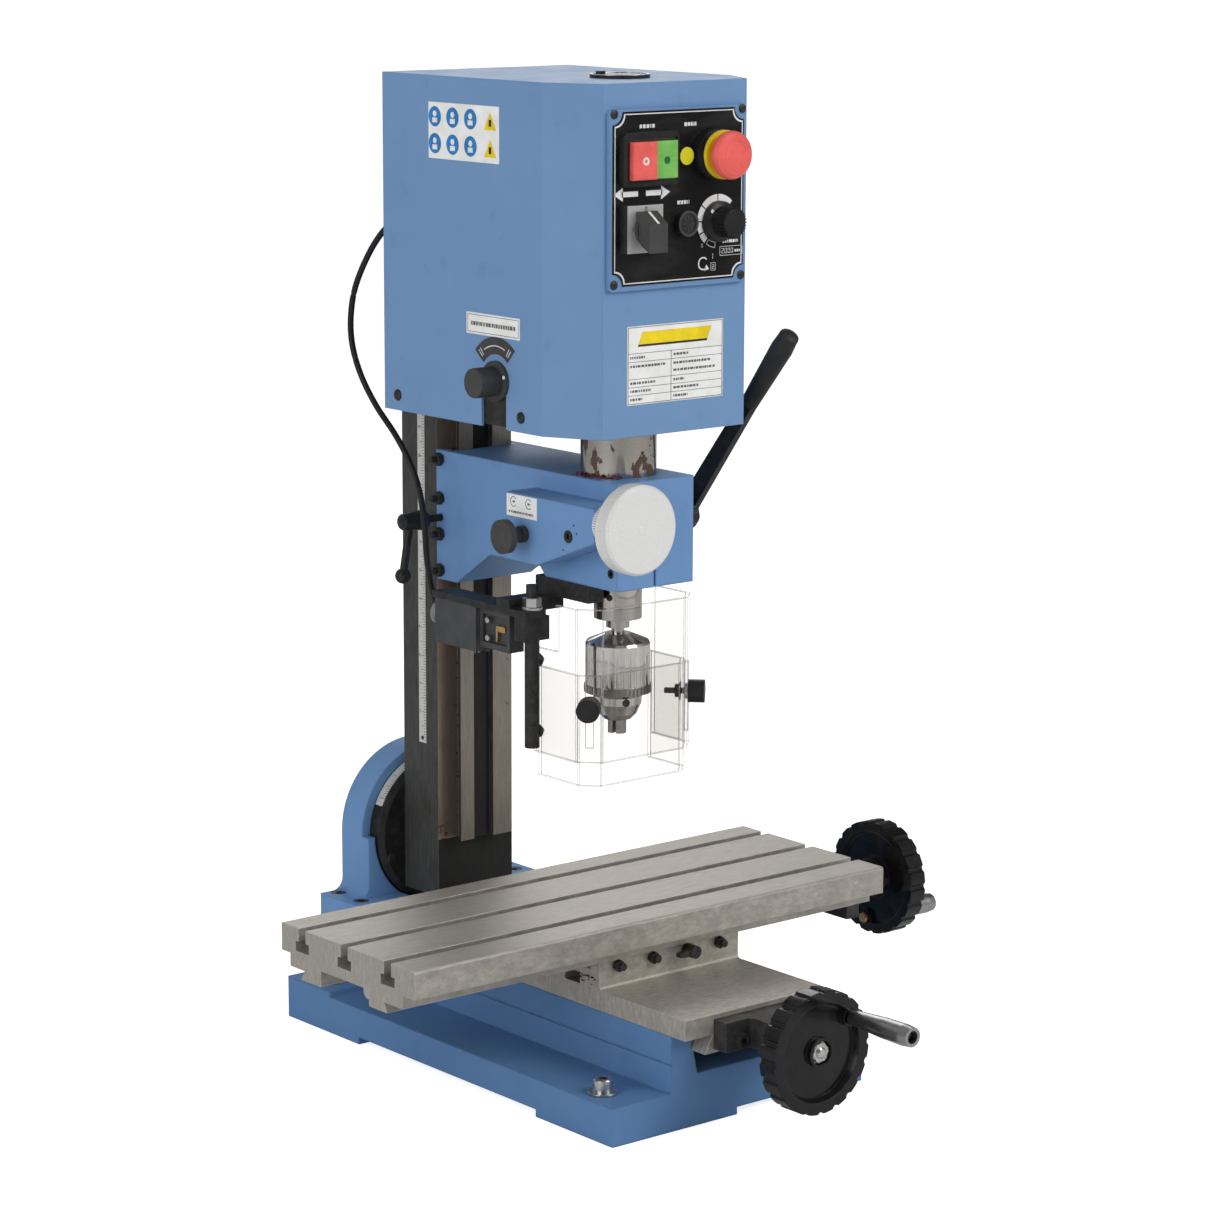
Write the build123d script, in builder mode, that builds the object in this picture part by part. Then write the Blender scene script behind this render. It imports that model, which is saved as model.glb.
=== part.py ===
from build123d import *
import math
import os

os.makedirs("parts", exist_ok=True)

# Benchtop milling machine in millimetres, +Z up. The origin is on the bench surface, below
# the spindle axis. -Y is the operator's side (front), -X the operator's left.
# HW is a half width, R a radius; 0 and 1 mark the low and high end along an axis.
# A line is an axis letter and its other two coordinates, in X, Y, Z order.

# ---------------------------------------------------------------- driving dimensions
TABLE_L, TABLE_W = 400.0, 145.0
TABLE_X0, TABLE_Y0, TABLE_TOP = -221.4, -71.2, 123.8
TABLE_X1, TABLE_Y1 = TABLE_X0 + TABLE_L, TABLE_Y0 + TABLE_W
SLAB_T = 18.3
SLOT_Y, SLOT_PITCH, SLOT_NECK, SLOT_NECK_D, SLOT_T_W, SLOT_T_H = 4.2, 46.6, 8.0, 8.8, 15.0, 6.7
RAIL_BOT, RAIL_TOP = 90.3, 96.7              # table dovetail
DOVE = math.tan(math.radians(30.0))          # slope of the 60 degree dovetails
GIB_T, RUN = 4.5, 0.05                       # gib thickness, running clearance

BASE_HW, BASE_Y0, BASE_Y1, FLANGE_T = 108.4, -127.5, 233.0, 25.6
RISER_HW, RISER_TOP, CHANNEL_FLOOR, DOVE_FLOOR = 60.0, 63.8, 35.3, 51.8
BENCH_X, BENCH_Y0, BENCH_Y1, BENCH_R = 92.3, -98.2, 203.7, 4.5      # bench bolt holes

SADDLE_HW, SADDLE_Y0, SADDLE_Y1, SADDLE_TOP = 60.15, -141.0, 68.0, 77.5
WEB_Y, WEB_TOP = -55.3, 96.55                # raised part that holds the table dovetail

DISC_R, DISC_Y0, DISC_Y1 = 53.5, 195.2, 208.4
COL_HW, COL_Y0, COL_Y1, COL_Z0, COL_Z1 = 32.4, 155.8, 195.2, 90.0, 575.0
RAIL_Y, RAIL_HW, RAIL_Z0 = 143.0, 22.3, 131.0
RAIL_NECK = RAIL_HW - (COL_Y0 - RAIL_Y) * DOVE

CAST_HW, CAST_Y0, CAST_TOP, CAST_BOT = 32.4, -38.0, 406.5, 335.7
QUILL_R, QUILL_Z0, NOSE_R = 25.0, 366.0, 16.0
HEAD_HW, HEAD_FRONT_HW, HEAD_Y0, HEAD_SHOULDER_Y, HEAD_Y1 = 78.8, 59.7, -55.8, -18.3, 151.1
HEAD_Z0, HEAD_Z1, SHEET = 439.6, 663.7, 2.0

SCREW_R = 5.0                                # both leadscrews
SCREW_BORE = SCREW_R + RUN
WHEEL_R, CRANK_R = 40.6, 32.0                # handwheel, circle of its crank stud
MODULE, BACKLASH = 1.5, 0.12                 # gear module, flank thinning
FEED_TEETH = 16                              # quill pinion
FEED_PITCH_R = MODULE * FEED_TEETH / 2

# ---------------------------------------------------------------- lines
Y_SCREW_Z, X_SCREW_Y, X_SCREW_Z = 60.0, 1.3, 91.0
FEED_Y, FEED_Z = 28.0, 368.0
GIB_Y, CLAMP_Z = 151.0, 360.0                # head gib screws, clamp lever between them
ROD_X, ROD_Y = -55.0, 22.0
DIRECTION_X = -34.1
Y_SCREW = ("y", 0, Y_SCREW_Z)
X_SCREW = ("x", X_SCREW_Y, X_SCREW_Z)
TILT = ("y", 0, 127.5)
SPINDLE = ("z", 0, 0)
FEED = ("x", FEED_Y, FEED_Z)                 # quill pinion shaft
FINE = ("y", -46.5, 383.5)                   # fine feed worm
CLAMP = ("x", GIB_Y, CLAMP_Z)
CAST_PINCH = ("x", -31.5, 347.0)
CAST_PLUG = ("x", -18.4, 372.5)
MOTOR = ("z", 13.0, 71.613)
IDLER = ("z", -28.0, 53.066)                 # 45 from the motor, 60 from the spindle
RANGE = ("x", 28.5, 470.5)
CAP_PIN = ("z", -9.6, 7.9)
LAMP = ("y", 2.2, 617.0)
DIRECTION = ("y", DIRECTION_X, 573.0)
FUSE = ("y", 4.0, 574.1)
SPEED = ("y", 32.7, 573.8)
STOP = ("y", 26.5, 617.3)
GUARD_ROD = ("z", ROD_X, ROD_Y)

# ---------------------------------------------------------------- screw places
SIDES = (-1, 1)
BRACKET_SCREWS = [("z", x, y) for x in (-68.0, 68.0) for y in (199.0, 225.9)]
BASE_GIB_SCREWS = [("x", y, 57.8) for y in (-80.0, -10.0, 60.0)]
SADDLE_GIB_SCREWS = [("y", x, 92.0) for x in (-45.4, -15.5, 42.2)]
LOCK_X, LOCK_Z = 14.0, 92.0
SADDLE_LOCK = ("y", LOCK_X, LOCK_Z)
NOSE_SCREWS = [("y", x, 61.8) for x in (-25.0, 25.0)]        # screw bracket to saddle
END_SCREWS = [("x", y, 98.5) for y in (-29.0, 33.5)]         # end plate to table
HEAD_GIB_SCREWS = [("x", GIB_Y, z) for z in (400.4, 373.6, 348.6, 323.5)]
GUARD_SCREWS = [("x", ROD_Y, z) for z in (236.0, 284.0)]

CUT = Mode.SUBTRACT


# ---------------------------------------------------------------- helpers
def box(x0, x1, y0, y1, z0, z1, mode=Mode.ADD):
    with Locations(((x0 + x1) / 2, (y0 + y1) / 2, (z0 + z1) / 2)):
        Box(x1 - x0, y1 - y0, z1 - z0, mode=mode)


def pocket(*limits):
    box(*limits, mode=CUT)


def rod(axis, a, b, radius, lo, hi, mode=Mode.ADD):
    """Cylinder on the line (axis, a, b), from lo to hi."""
    mid = (lo + hi) / 2
    centre = {"x": (mid, a, b), "y": (a, mid, b), "z": (a, b, mid)}[axis]
    rotation = {"x": (0, 90, 0), "y": (90, 0, 0), "z": (0, 0, 0)}[axis]
    with Locations(centre):
        Cylinder(radius, hi - lo, rotation=rotation, mode=mode)


def bore(*args):
    rod(*args, mode=CUT)


def prism(axis, points, lo, hi, mode=Mode.ADD):
    """Closed outline in the other two coordinates, extruded along the axis from lo to hi."""
    plane = {"x": Plane.YZ.offset(lo), "y": Plane.XZ.offset(-hi), "z": Plane.XY.offset(lo)}[axis]
    with BuildSketch(plane) as section:
        with BuildLine():
            Polyline(*points, close=True)
        make_face()
    extrude(section.sketch, amount=hi - lo, mode=mode)


def hex_rod(axis, a, b, flats, lo, hi, mode=Mode.ADD):
    """Hexagonal bar, flats being its width across flats."""
    radius = flats / 2 / math.cos(math.pi / 6)
    angles = [i * math.pi / 3 + 0.3 for i in range(6)]
    points = [(a + radius * math.cos(t), b + radius * math.sin(t)) for t in angles]
    prism(axis, points, lo, hi, mode)


def hex_socket(*args):
    hex_rod(*args, mode=CUT)


def turned(axis, a, b, profile, mode=Mode.ADD):
    """Solid of revolution; profile is a closed list of (radius, position along the axis)."""
    origin, x_dir, z_dir = {
        "z": ((a, b, 0), (1, 0, 0), (0, -1, 0)),
        "y": ((a, 0, b), (1, 0, 0), (0, 0, 1)),
        "x": ((0, a, b), (0, 1, 0), (0, 0, -1)),
    }[axis]
    plane = Plane(origin=origin, x_dir=x_dir, z_dir=z_dir)
    with BuildSketch(plane) as section:
        with BuildLine():
            Polyline(*profile, close=True)
        make_face()
    revolve(section.sketch, axis=Axis(plane.origin, plane.y_dir), mode=mode)


def gear(line, teeth, lo, hi, phase=0.0, module=MODULE):
    """Spur gear with 20 degree involute flanks; phase is the angle of one tooth."""
    axis, a, b = line
    pitch_r = module * teeth / 2
    tip_r = pitch_r + module * 0.95
    root_r = pitch_r - 1.2 * module
    base_r = pitch_r * math.cos(math.radians(20))
    flank_r = max(base_r, root_r)

    def involute(radius):
        unwound = math.sqrt(max((radius / base_r) ** 2 - 1, 0))
        return unwound - math.acos(min(base_r / radius, 1.0))

    base_half = math.pi / (2 * teeth) - BACKLASH / pitch_r + involute(pitch_r)
    foot_half = base_half - involute(flank_r)
    lead = min(0.02, 0.3 * (math.pi / teeth - foot_half))
    # (radius, half angle of the tooth there), root to tip
    flank = [(root_r, foot_half + lead)]
    for k in range(6):
        radius = flank_r + (tip_r - flank_r) * k / 5
        flank.append((radius, base_half - involute(radius)))
    polar = []
    for i in range(teeth):
        middle = phase + 2 * math.pi * i / teeth
        polar += [(r, middle - half) for r, half in flank]
        polar += [(r, middle + half) for r, half in reversed(flank)]
    prism(axis, [(a + r * math.cos(t), b + r * math.sin(t)) for r, t in polar], lo, hi)


def bearing(start, end):
    """Angle from one line to a parallel one."""
    return math.atan2(end[2] - start[2], end[1] - start[1])


def edges_at(edges, axis, position):
    return edges.filter_by_position(axis, position - 0.1, position + 0.1)


def save(builder, name):
    builder.part.label = name
    export_step(builder.part, "parts/" + name + ".step")


# Dovetail flanks: x of the channel's right flank, y of the table rail's front and back.
def base_flank(z):
    return 36.6 + (RISER_TOP - z) * DOVE


def table_front(z):
    return -38.2 - (RAIL_TOP - z) * DOVE


def table_back(z):
    return 48.3 + (RAIL_TOP - z) * DOVE


def gib_section(flank, z0, z1):
    """Parallelogram lying against a dovetail flank, RUN clear of it."""
    corners = ((GIB_T + RUN, z0), (RUN, z0), (RUN, z1), (GIB_T + RUN, z1))
    return [(flank(z) - gap, z) for gap, z in corners]


GIB_ROOM = GIB_T + 2 * RUN

# ================================================================= base
FOOT_HW, FOOT_Y0, FOOT_TOP = 79, 186, 84.5       # column bracket foot and the pad below it
UPRIGHT_HW, UPRIGHT_Y0 = 60, 200.5

with BuildPart() as base_casting:
    for z, y_front, height in ((0, BASE_Y0, FLANGE_T), (FLANGE_T, 182, 3.5)):
        with BuildSketch(Plane.XY.offset(z)):
            with Locations((0, (y_front + BASE_Y1) / 2)):
                RectangleRounded(2 * BASE_HW, BASE_Y1 - y_front, 1.5)
        extrude(amount=height)
    box(-RISER_HW, RISER_HW, BASE_Y0, BASE_Y1, FLANGE_T - 2, RISER_TOP)
    box(-FOOT_HW, FOOT_HW, FOOT_Y0, BASE_Y1, FLANGE_T, RISER_TOP)
    # dovetail channel with the cast trough below it
    channel = [
        (-36.55, RISER_TOP + 0.01), (-36.55 - (RISER_TOP - DOVE_FLOOR) * DOVE, DOVE_FLOOR),
        (-41.5, DOVE_FLOOR), (-38, CHANNEL_FLOOR), (38, CHANNEL_FLOOR), (41.5, DOVE_FLOOR),
        (base_flank(DOVE_FLOOR), DOVE_FLOOR), (36.6, RISER_TOP + 0.01),
    ]
    prism("y", channel, BASE_Y0 - 1, 178, CUT)
    # cast parting groove along both flanks
    for s in SIDES:
        pocket(*sorted((s * 59.2, s * 61)), BASE_Y0 - 1, FOOT_Y0 - 0.1, 44.0, 45.0)
    # relief under the base
    pocket(-120, 120, -49, 147, -1, 5)
    pocket(-3.4, 60, BASE_Y0 - 1, -48, -1, 5)
    # rib under the trough that joins the front and rear feet
    box(-22, 22, -52, 150, 0, 5.5)
    for x in (-BENCH_X, BENCH_X):
        for y in (BENCH_Y0, BENCH_Y1):
            bore("z", x, y, BENCH_R, -1, 40)
    for screw in BRACKET_SCREWS:
        bore(*screw, 3.05, 41.9, RISER_TOP + 1)
    for screw in BASE_GIB_SCREWS:
        bore(*screw, 2.55, 38, 62)
save(base_casting, "base_casting")

with BuildPart() as column_bracket:
    box(-FOOT_HW, FOOT_HW, FOOT_Y0, BASE_Y1, RISER_TOP, FOOT_TOP)
    box(-UPRIGHT_HW, UPRIGHT_HW, UPRIGHT_Y0, BASE_Y1, FOOT_TOP, TILT[2])
    rod(*TILT, 60, DISC_Y1 + 0.1, BASE_Y1)
    # cast fillet between the upright and its foot
    fillet_r, fillet_x, fillet_z = 9, 69, 93.4
    for s in SIDES:
        arc = []
        for degrees in range(270, 179, -15):
            t = math.radians(degrees)
            arc.append((s * (fillet_x + fillet_r * math.cos(t)), fillet_z + fillet_r * math.sin(t)))
        foot = [(s * 59, 83.5), (s * fillet_x, 83.5)]
        prism("y", foot + arc + [(s * 59, fillet_z)], UPRIGHT_Y0, BASE_Y1)
    bore(*TILT, 54.6, 180, DISC_Y1 + 0.1)
    bore(*TILT, 10.05, 200, 240)
    for screw in BRACKET_SCREWS:
        bore(*screw, 3.3, 60, 90)
        bore(*screw, 5.6, 78.2, 96)
save(column_bracket, "column_bracket")

with BuildPart() as base_screws:
    for screw in BRACKET_SCREWS:
        rod(*screw, 3.0, 42, 78.3)
        rod(*screw, 5.0, 78.25, 84.2)
        hex_socket(*screw, 5.0, 81.2, 85)
    for screw in BASE_GIB_SCREWS:
        rod(*screw, 2.5, 41.65, 66)
        hex_rod(*screw, 8, 60.05, 64)
save(base_screws, "base_screws")

with BuildPart() as y_nut:
    box(-8, 8, -70, -46, CHANNEL_FLOOR, 66.2)
    bore(*Y_SCREW, SCREW_BORE, -80, -40)
save(y_nut, "y_nut")

with BuildPart() as y_gib:
    prism("y", gib_section(base_flank, 52.4, 63.3), -126, 172)
save(y_gib, "y_gib")

# ================================================================= saddle
with BuildPart() as saddle:
    tongue_top, tongue_bot = RISER_TOP + RUN, DOVE_FLOOR + RUN
    # plate and dovetail tongue, notched for the Y nut
    prism("y", [
        (-SADDLE_HW, SADDLE_TOP), (SADDLE_HW, SADDLE_TOP), (SADDLE_HW, tongue_top),
        (base_flank(tongue_top) - GIB_ROOM, tongue_top),
        (base_flank(tongue_bot) - GIB_ROOM, tongue_bot),
        (9, tongue_bot), (9, 67), (-9, 67), (-9, tongue_bot),
        (-36.5 - (RISER_TOP - tongue_bot) * DOVE, tongue_bot),
        (-36.5, tongue_top), (-SADDLE_HW, tongue_top),
    ], SADDLE_Y0, SADDLE_Y1)
    box(-SADDLE_HW, SADDLE_HW, WEB_Y, SADDLE_Y1, SADDLE_TOP - 0.5, WEB_TOP)
    web_foot = edges_at(saddle.edges().filter_by(Axis.X), Axis.Y, WEB_Y)
    fillet(edges_at(web_foot, Axis.Z, SADDLE_TOP), 2.6)
    # table dovetail, with room for its gib in front
    way_bot, way_top = RAIL_BOT - 0.1, 97.5
    prism("x", [
        (table_front(way_bot) - GIB_ROOM, way_bot), (table_back(way_bot) + RUN, way_bot),
        (table_back(way_top) + RUN, way_top), (table_front(way_top) - GIB_ROOM, way_top),
    ], -70, 70, CUT)
    pocket(-70, 70, X_SCREW_Y - 8, X_SCREW_Y + 8, 83.9, 91)
    pocket(-61, -38, -35, -19, 77.6, 85.4)       # recess in the left end
    for screw in NOSE_SCREWS:
        bore(*screw, 3.05, SADDLE_Y0 - 1, -124)
    for screw in (*SADDLE_GIB_SCREWS, SADDLE_LOCK):
        bore(*screw, 2.55, -60, -42)
save(saddle, "saddle")

with BuildPart() as x_gib:
    prism("x", gib_section(table_front, 90.6, 96.2), -59.5, 59.5)
save(x_gib, "x_gib")

with BuildPart() as saddle_screws:
    for screw in SADDLE_GIB_SCREWS:
        rod(*screw, 2.5, -62.5, -46.4)
        hex_rod(*screw, 7, -59.3, -55.35)
    for screw in NOSE_SCREWS:
        rod(*screw, 3.0, -153.2, -125)
        rod(*screw, 5.0, -159, -153.05)
        hex_socket(*screw, 5.0, -160, -156)
save(saddle_screws, "saddle_screws")

with BuildPart() as x_nut:
    box(-12, 12, X_SCREW_Y - 7.9, X_SCREW_Y + 7.9, 84.0, 100.4)
    bore(*X_SCREW, SCREW_BORE, -15, 15)
save(x_nut, "x_nut")

with BuildPart() as screw_bracket:
    nose_hw, plate_y = 15, -153
    box(-36, 36, plate_y, SADDLE_Y0, 54.3, 74.2)
    box(-nose_hw, nose_hw, -178, plate_y, 54.3, 74.2)
    corners = edges_at(screw_bracket.edges().filter_by(Axis.Z), Axis.Y, plate_y)
    fillet(corners.filter_by_position(Axis.X, -nose_hw - 0.1, nose_hw + 0.1), 4)
    bore(*Y_SCREW, SCREW_BORE, -180, -140)
    pocket(31.7, 37, -154, -140, 54, 64.3)       # clears the gib inside the channel
    for screw in NOSE_SCREWS:
        bore(*screw, 3.05, -155, -140)
save(screw_bracket, "screw_bracket")

with BuildPart() as saddle_lock_lever:
    rod(*SADDLE_LOCK, 2.5, -66, -46.4)
    rod(*SADDLE_LOCK, 4.4, -66, -56.2)
    arm = [(LOCK_X, LOCK_Z - 2.8), (LOCK_X, LOCK_Z + 2.8), (1.0, 92.6), (1.0, 90.2)]
    prism("y", arm, -65, -60.5)
save(saddle_lock_lever, "saddle_lock_lever")


def handwheel(line, crank, lo, hi, outward):
    """Lobed wheel from lo to hi; outward (+1 or -1) is the way its operator's face looks."""
    axis, a, b = line
    face, back = (hi, lo) if outward > 0 else (lo, hi)
    plane = Plane.XZ.offset(-hi) if axis == "y" else Plane.YZ.offset(lo)
    with BuildSketch(plane) as rim:
        with Locations((a, b)):
            Circle(WHEEL_R)
            with PolarLocations(WHEEL_R + 0.9, 20):
                Circle(2.5, mode=CUT)
    extrude(rim.sketch, amount=hi - lo)
    # dishes in both faces: (radius, distance outward from that face)
    dishes = (
        (face, ((10, -3.5), (30.5, -4.5), (33, 1), (10, 1))),
        (back, ((13, -1), (34, -1), (32, 3.5), (15, 3.5))),
    )
    for start, dish in dishes:
        turned(*line, [(r, start + outward * step) for r, step in dish], CUT)
    bore(*line, 8.0, *sorted((face - outward * 4, face + outward)))
    bore(*line, SCREW_BORE, lo - 1, hi + 1)
    rod(axis, *crank, 6.5, lo + 1, hi - 1)
    rod(axis, *crank, 3.0, *sorted((face, face + outward * 36)))


def crank_place(line, degrees):
    t = math.radians(degrees)
    return (line[1] + CRANK_R * math.cos(t), line[2] + CRANK_R * math.sin(t))


with BuildPart() as y_leadscrew:
    rod(*Y_SCREW, SCREW_R, -199.9, 60)
    rod(*Y_SCREW, 3.9, -203.6, -199.9)
    hex_rod(*Y_SCREW, 12, -202.8, -200.05)
save(y_leadscrew, "y_leadscrew")

Y_CRANK = crank_place(Y_SCREW, 36)
with BuildPart() as y_handwheel:
    handwheel(Y_SCREW, Y_CRANK, -204, -190.05, -1)
    # graduated collar
    turned(*Y_SCREW, [
        (SCREW_BORE, -196), (14, -196), (15, -190), (15, -178.1), (SCREW_BORE, -178.1),
    ])
save(y_handwheel, "y_handwheel")

with BuildPart() as y_handle:
    turned("y", *Y_CRANK, [
        (3.05, -204.5), (5.0, -204.5), (5.4, -211), (6.8, -233), (7.1, -252),
        (6.4, -259), (4.2, -259), (4.2, -252), (3.05, -252),
    ])
save(y_handle, "y_handle")

# ================================================================= table
with BuildPart() as table:
    slab_bot = TABLE_TOP - SLAB_T
    body_y0, body_y1 = TABLE_Y0 + 13.3, TABLE_Y1 - 9.6
    groove_y0, groove_y1, groove_top = -22.5, 30.2, 101.0
    prism("x", [
        (TABLE_Y0, TABLE_TOP), (TABLE_Y1, TABLE_TOP), (TABLE_Y1, slab_bot), (body_y1, slab_bot),
        (body_y1, RAIL_TOP), (table_back(RAIL_TOP), RAIL_TOP), (table_back(RAIL_BOT), RAIL_BOT),
        (groove_y1, RAIL_BOT), (groove_y1, groove_top), (groove_y0, groove_top),
        (groove_y0, RAIL_BOT), (table_front(RAIL_BOT), RAIL_BOT),
        (table_front(RAIL_TOP), RAIL_TOP), (body_y0, RAIL_TOP), (body_y0, slab_bot),
        (TABLE_Y0, slab_bot),
    ], TABLE_X0, TABLE_X1)
    neck_bot = TABLE_TOP - SLOT_NECK_D
    for k in (-1, 0, 1):
        y = SLOT_Y + k * SLOT_PITCH
        for width, z0, z1 in ((SLOT_NECK, neck_bot - 1, TABLE_TOP + 1),
                              (SLOT_T_W, neck_bot - SLOT_T_H, neck_bot)):
            pocket(TABLE_X0 - 1, TABLE_X1 + 1, y - width / 2, y + width / 2, z0, z1)
    for screw in END_SCREWS:
        bore(*screw, 2.55, TABLE_X1 - 16, TABLE_X1 + 1)
    front_edges = edges_at(table.edges().filter_by(Axis.X), Axis.Y, TABLE_Y0)
    chamfer(edges_at(front_edges, Axis.Z, TABLE_TOP), 1.2)
save(table, "table")

with BuildPart() as x_end_plate:
    box(TABLE_X1, TABLE_X1 + 11.4, -35.5, 39.5, 78.5, 104)
    bore(*X_SCREW, SCREW_BORE, TABLE_X1 - 1, TABLE_X1 + 20)
    for screw in END_SCREWS:
        bore(*screw, 2.6, TABLE_X1 - 1, TABLE_X1 + 20)
save(x_end_plate, "x_end_plate")

with BuildPart() as end_plate_screws:
    for screw in END_SCREWS:
        rod(*screw, 2.5, TABLE_X1 - 14, TABLE_X1 + 11.5)
        rod(*screw, 4.3, TABLE_X1 + 11.45, TABLE_X1 + 16.4)
        hex_socket(*screw, 4.0, TABLE_X1 + 14.0, TABLE_X1 + 17.4)
save(end_plate_screws, "end_plate_screws")

with BuildPart() as x_leadscrew:
    rod(*X_SCREW, SCREW_R, -205, 246.8)
    rod(*X_SCREW, 3.9, 246.8, 250.5)
    hex_rod(*X_SCREW, 12, 246.85, 249.6)
save(x_leadscrew, "x_leadscrew")

X_CRANK = crank_place(X_SCREW, -76.8)
with BuildPart() as x_handwheel:
    handwheel(X_SCREW, X_CRANK, 236.85, 250.8, 1)
    # graduated collar
    collar_x0 = TABLE_X1 + 11.5
    turned(*X_SCREW, [
        (SCREW_BORE, collar_x0), (9, collar_x0), (9, 200), (15, 200), (15, 225),
        (12, 225), (12, 242), (SCREW_BORE, 242),
    ])
save(x_handwheel, "x_handwheel")

with BuildPart() as x_handle:
    turned("x", *X_CRANK, [
        (3.05, 251.3), (5.0, 251.3), (5.4, 258), (6.8, 280), (7.1, 297),
        (6.4, 303), (4.2, 303), (4.2, 296), (3.05, 296),
    ])
save(x_handle, "x_handle")

# ================================================================= column
with BuildPart() as column:
    box(-COL_HW, COL_HW, COL_Y0, COL_Y1, COL_Z0, COL_Z1)
    prism("z", [
        (-RAIL_NECK, COL_Y0 + 0.5), (-RAIL_NECK, COL_Y0), (-RAIL_HW, RAIL_Y),
        (RAIL_HW, RAIL_Y), (RAIL_NECK, COL_Y0), (RAIL_NECK, COL_Y0 + 0.5),
    ], RAIL_Z0, COL_Z1)
    pocket(-10.7, 6.0, RAIL_Y - 1, RAIL_Y + 4.5, RAIL_Z0 - 1, COL_Z1 + 1)
save(column, "column")

with BuildPart() as tilt_disc:
    turned(*TILT, [
        (0, DISC_Y0), (DISC_R - 3.5, DISC_Y0), (DISC_R, DISC_Y0 + 3.0), (DISC_R, DISC_Y1),
        (10, DISC_Y1), (10, 250), (9, 251), (0, 251),
    ])
save(tilt_disc, "tilt_disc")

with BuildPart() as tilt_nut:
    hex_rod(*TILT, 30, 236.1, 248)
    rod(*TILT, 20, 233.1, 236.05)
    bore(*TILT, 10.05, 230, 260)
save(tilt_nut, "tilt_nut")

# ================================================================= head casting
HEAD_GIB_T = 4.0

with BuildPart() as head_casting:
    cast_back = COL_Y0 - RUN
    prism("x", [
        (cast_back, CAST_TOP), (CAST_Y0, CAST_TOP), (CAST_Y0, CAST_BOT), (36, CAST_BOT),
        (42, 341.7), (95.8, 341.7), (133.5, 317), (cast_back, 317),
    ], -CAST_HW, CAST_HW)
    # fine feed housing on the left
    housing = [(46, 394), (-44.9, 394), (-44.9, 371.4), (14, 349), (46, 349)]
    prism("x", housing, -57, -CAST_HW + 0.5)
    bore(*SPINDLE, QUILL_R + RUN, 300, 420)
    # column dovetail, with room for the gib on the left
    past = 0.5
    gib_side = HEAD_GIB_T + 2 * RUN
    prism("z", [
        (-RAIL_NECK - gib_side + past * DOVE, COL_Y0 + past), (-RAIL_HW - gib_side, RAIL_Y),
        (-RAIL_HW - gib_side, RAIL_Y - 0.1), (RAIL_HW + RUN, RAIL_Y - 0.1),
        (RAIL_HW + RUN, RAIL_Y), (RAIL_NECK + RUN - past * DOVE, COL_Y0 + past),
    ], 300, 420, CUT)
    bore(*FEED, 8.05, -53, 40)
    bore(*FEED, 14.4, -12, 12)
    bore(*FEED, 4.05, -60, -50)
    bore(*FINE, 5.05, -50, 41)
    bore(*FINE, 6.0, 12, 44)
    bore(*FEED, 11.6, -51.5, -41.5)
    pocket(-1.2, 0.4, CAST_Y0 - 1, -24, 330, 396)    # slit into the quill bore
    for screw in HEAD_GIB_SCREWS:
        bore(*screw, 2.3, -40, -20)
    bore(*CLAMP, 2.55, -40, -20)
    bore(*CAST_PINCH, 3.05, -34, 20)
    bore(*CAST_PLUG, 4.05, -58, -53)
save(head_casting, "head_casting")

with BuildPart() as z_gib:
    far_side = HEAD_GIB_T + RUN
    inset = 0.3
    prism("z", [
        (-RAIL_NECK - far_side - 0.06, COL_Y0 - 0.1),
        (-RAIL_HW - far_side + inset * DOVE, RAIL_Y + inset),
        (-RAIL_HW - RUN + inset * DOVE, RAIL_Y + inset),
        (-RAIL_NECK - 0.11, COL_Y0 - 0.1),
    ], 318, 405.5)
save(z_gib, "z_gib")

with BuildPart() as casting_screws:
    for screw in HEAD_GIB_SCREWS:
        rod(*screw, 2.25, -41, -24.1)
        hex_rod(*screw, 8, -36.6, -32.45)
    rod(*CAST_PINCH, 3.0, -32.4, 18)
    hex_socket(*CAST_PINCH, 3.0, -33, -30)
    rod(*CAST_PLUG, 4.0, -57.6, -53.2)
    hex_socket(*CAST_PLUG, 4.0, -58, -55.4)
save(casting_screws, "casting_screws")

with BuildPart() as guard_bracket:
    box(-33, -20, -9.5, 46, 324, 335.65)
    box(-66, -20, 32.5, 46, 314, 324)
    box(-66, -48, 16, 116, 314, 318.5)
    box(ROD_X - 10.4, ROD_X + 10.4, ROD_Y - 5.4, ROD_Y + 5.4, 298, 314)
    bore(*GUARD_ROD, 4.05, 290, 330)
save(guard_bracket, "guard_bracket")

with BuildPart() as switch_box:
    box(-65.5, -50, 69, 114, 283.6, 313.95)
    box(-62, -50, 37, 69, 287, 313.95)
    pocket(-62.5, -59, 40, 66, 291, 310)
save(switch_box, "switch_box")

with BuildPart() as clamp_lever:
    rod(*CLAMP, 2.5, -50, -24.1)
    turned(*CLAMP, [(0, -66), (4.9, -66), (5.6, -65), (6.9, -50), (5.0, -45), (0, -45)])
    # arm sloping down and left to its ball
    arm_x, arm_dx, arm_dz = -58.5, -6.5, -37.0
    with BuildSketch(Plane(origin=(arm_x, GIB_Y, CLAMP_Z), x_dir=(0, 1, 0),
                           z_dir=(arm_dx, 0, arm_dz))):
        Circle(2.7)
    extrude(amount=37.5)
    with Locations((arm_x + arm_dx, GIB_Y, CLAMP_Z + arm_dz)):
        Sphere(5.4)
save(clamp_lever, "clamp_lever")

# ================================================================= quill feed
with BuildPart() as feed_shaft:
    rod(*FEED, 8.0, -38, 84.5)
    rod(*FEED, 4.0, -51.2, -38)
    gear(FEED, FEED_TEETH, -11, 11, phase=math.pi)
save(feed_shaft, "feed_shaft")

LEVER_X = 81.6
LEVER_ANGLE = math.radians(180 - 51.5)
LEVER_DY, LEVER_DZ = math.cos(LEVER_ANGLE), math.sin(LEVER_ANGLE)


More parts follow.
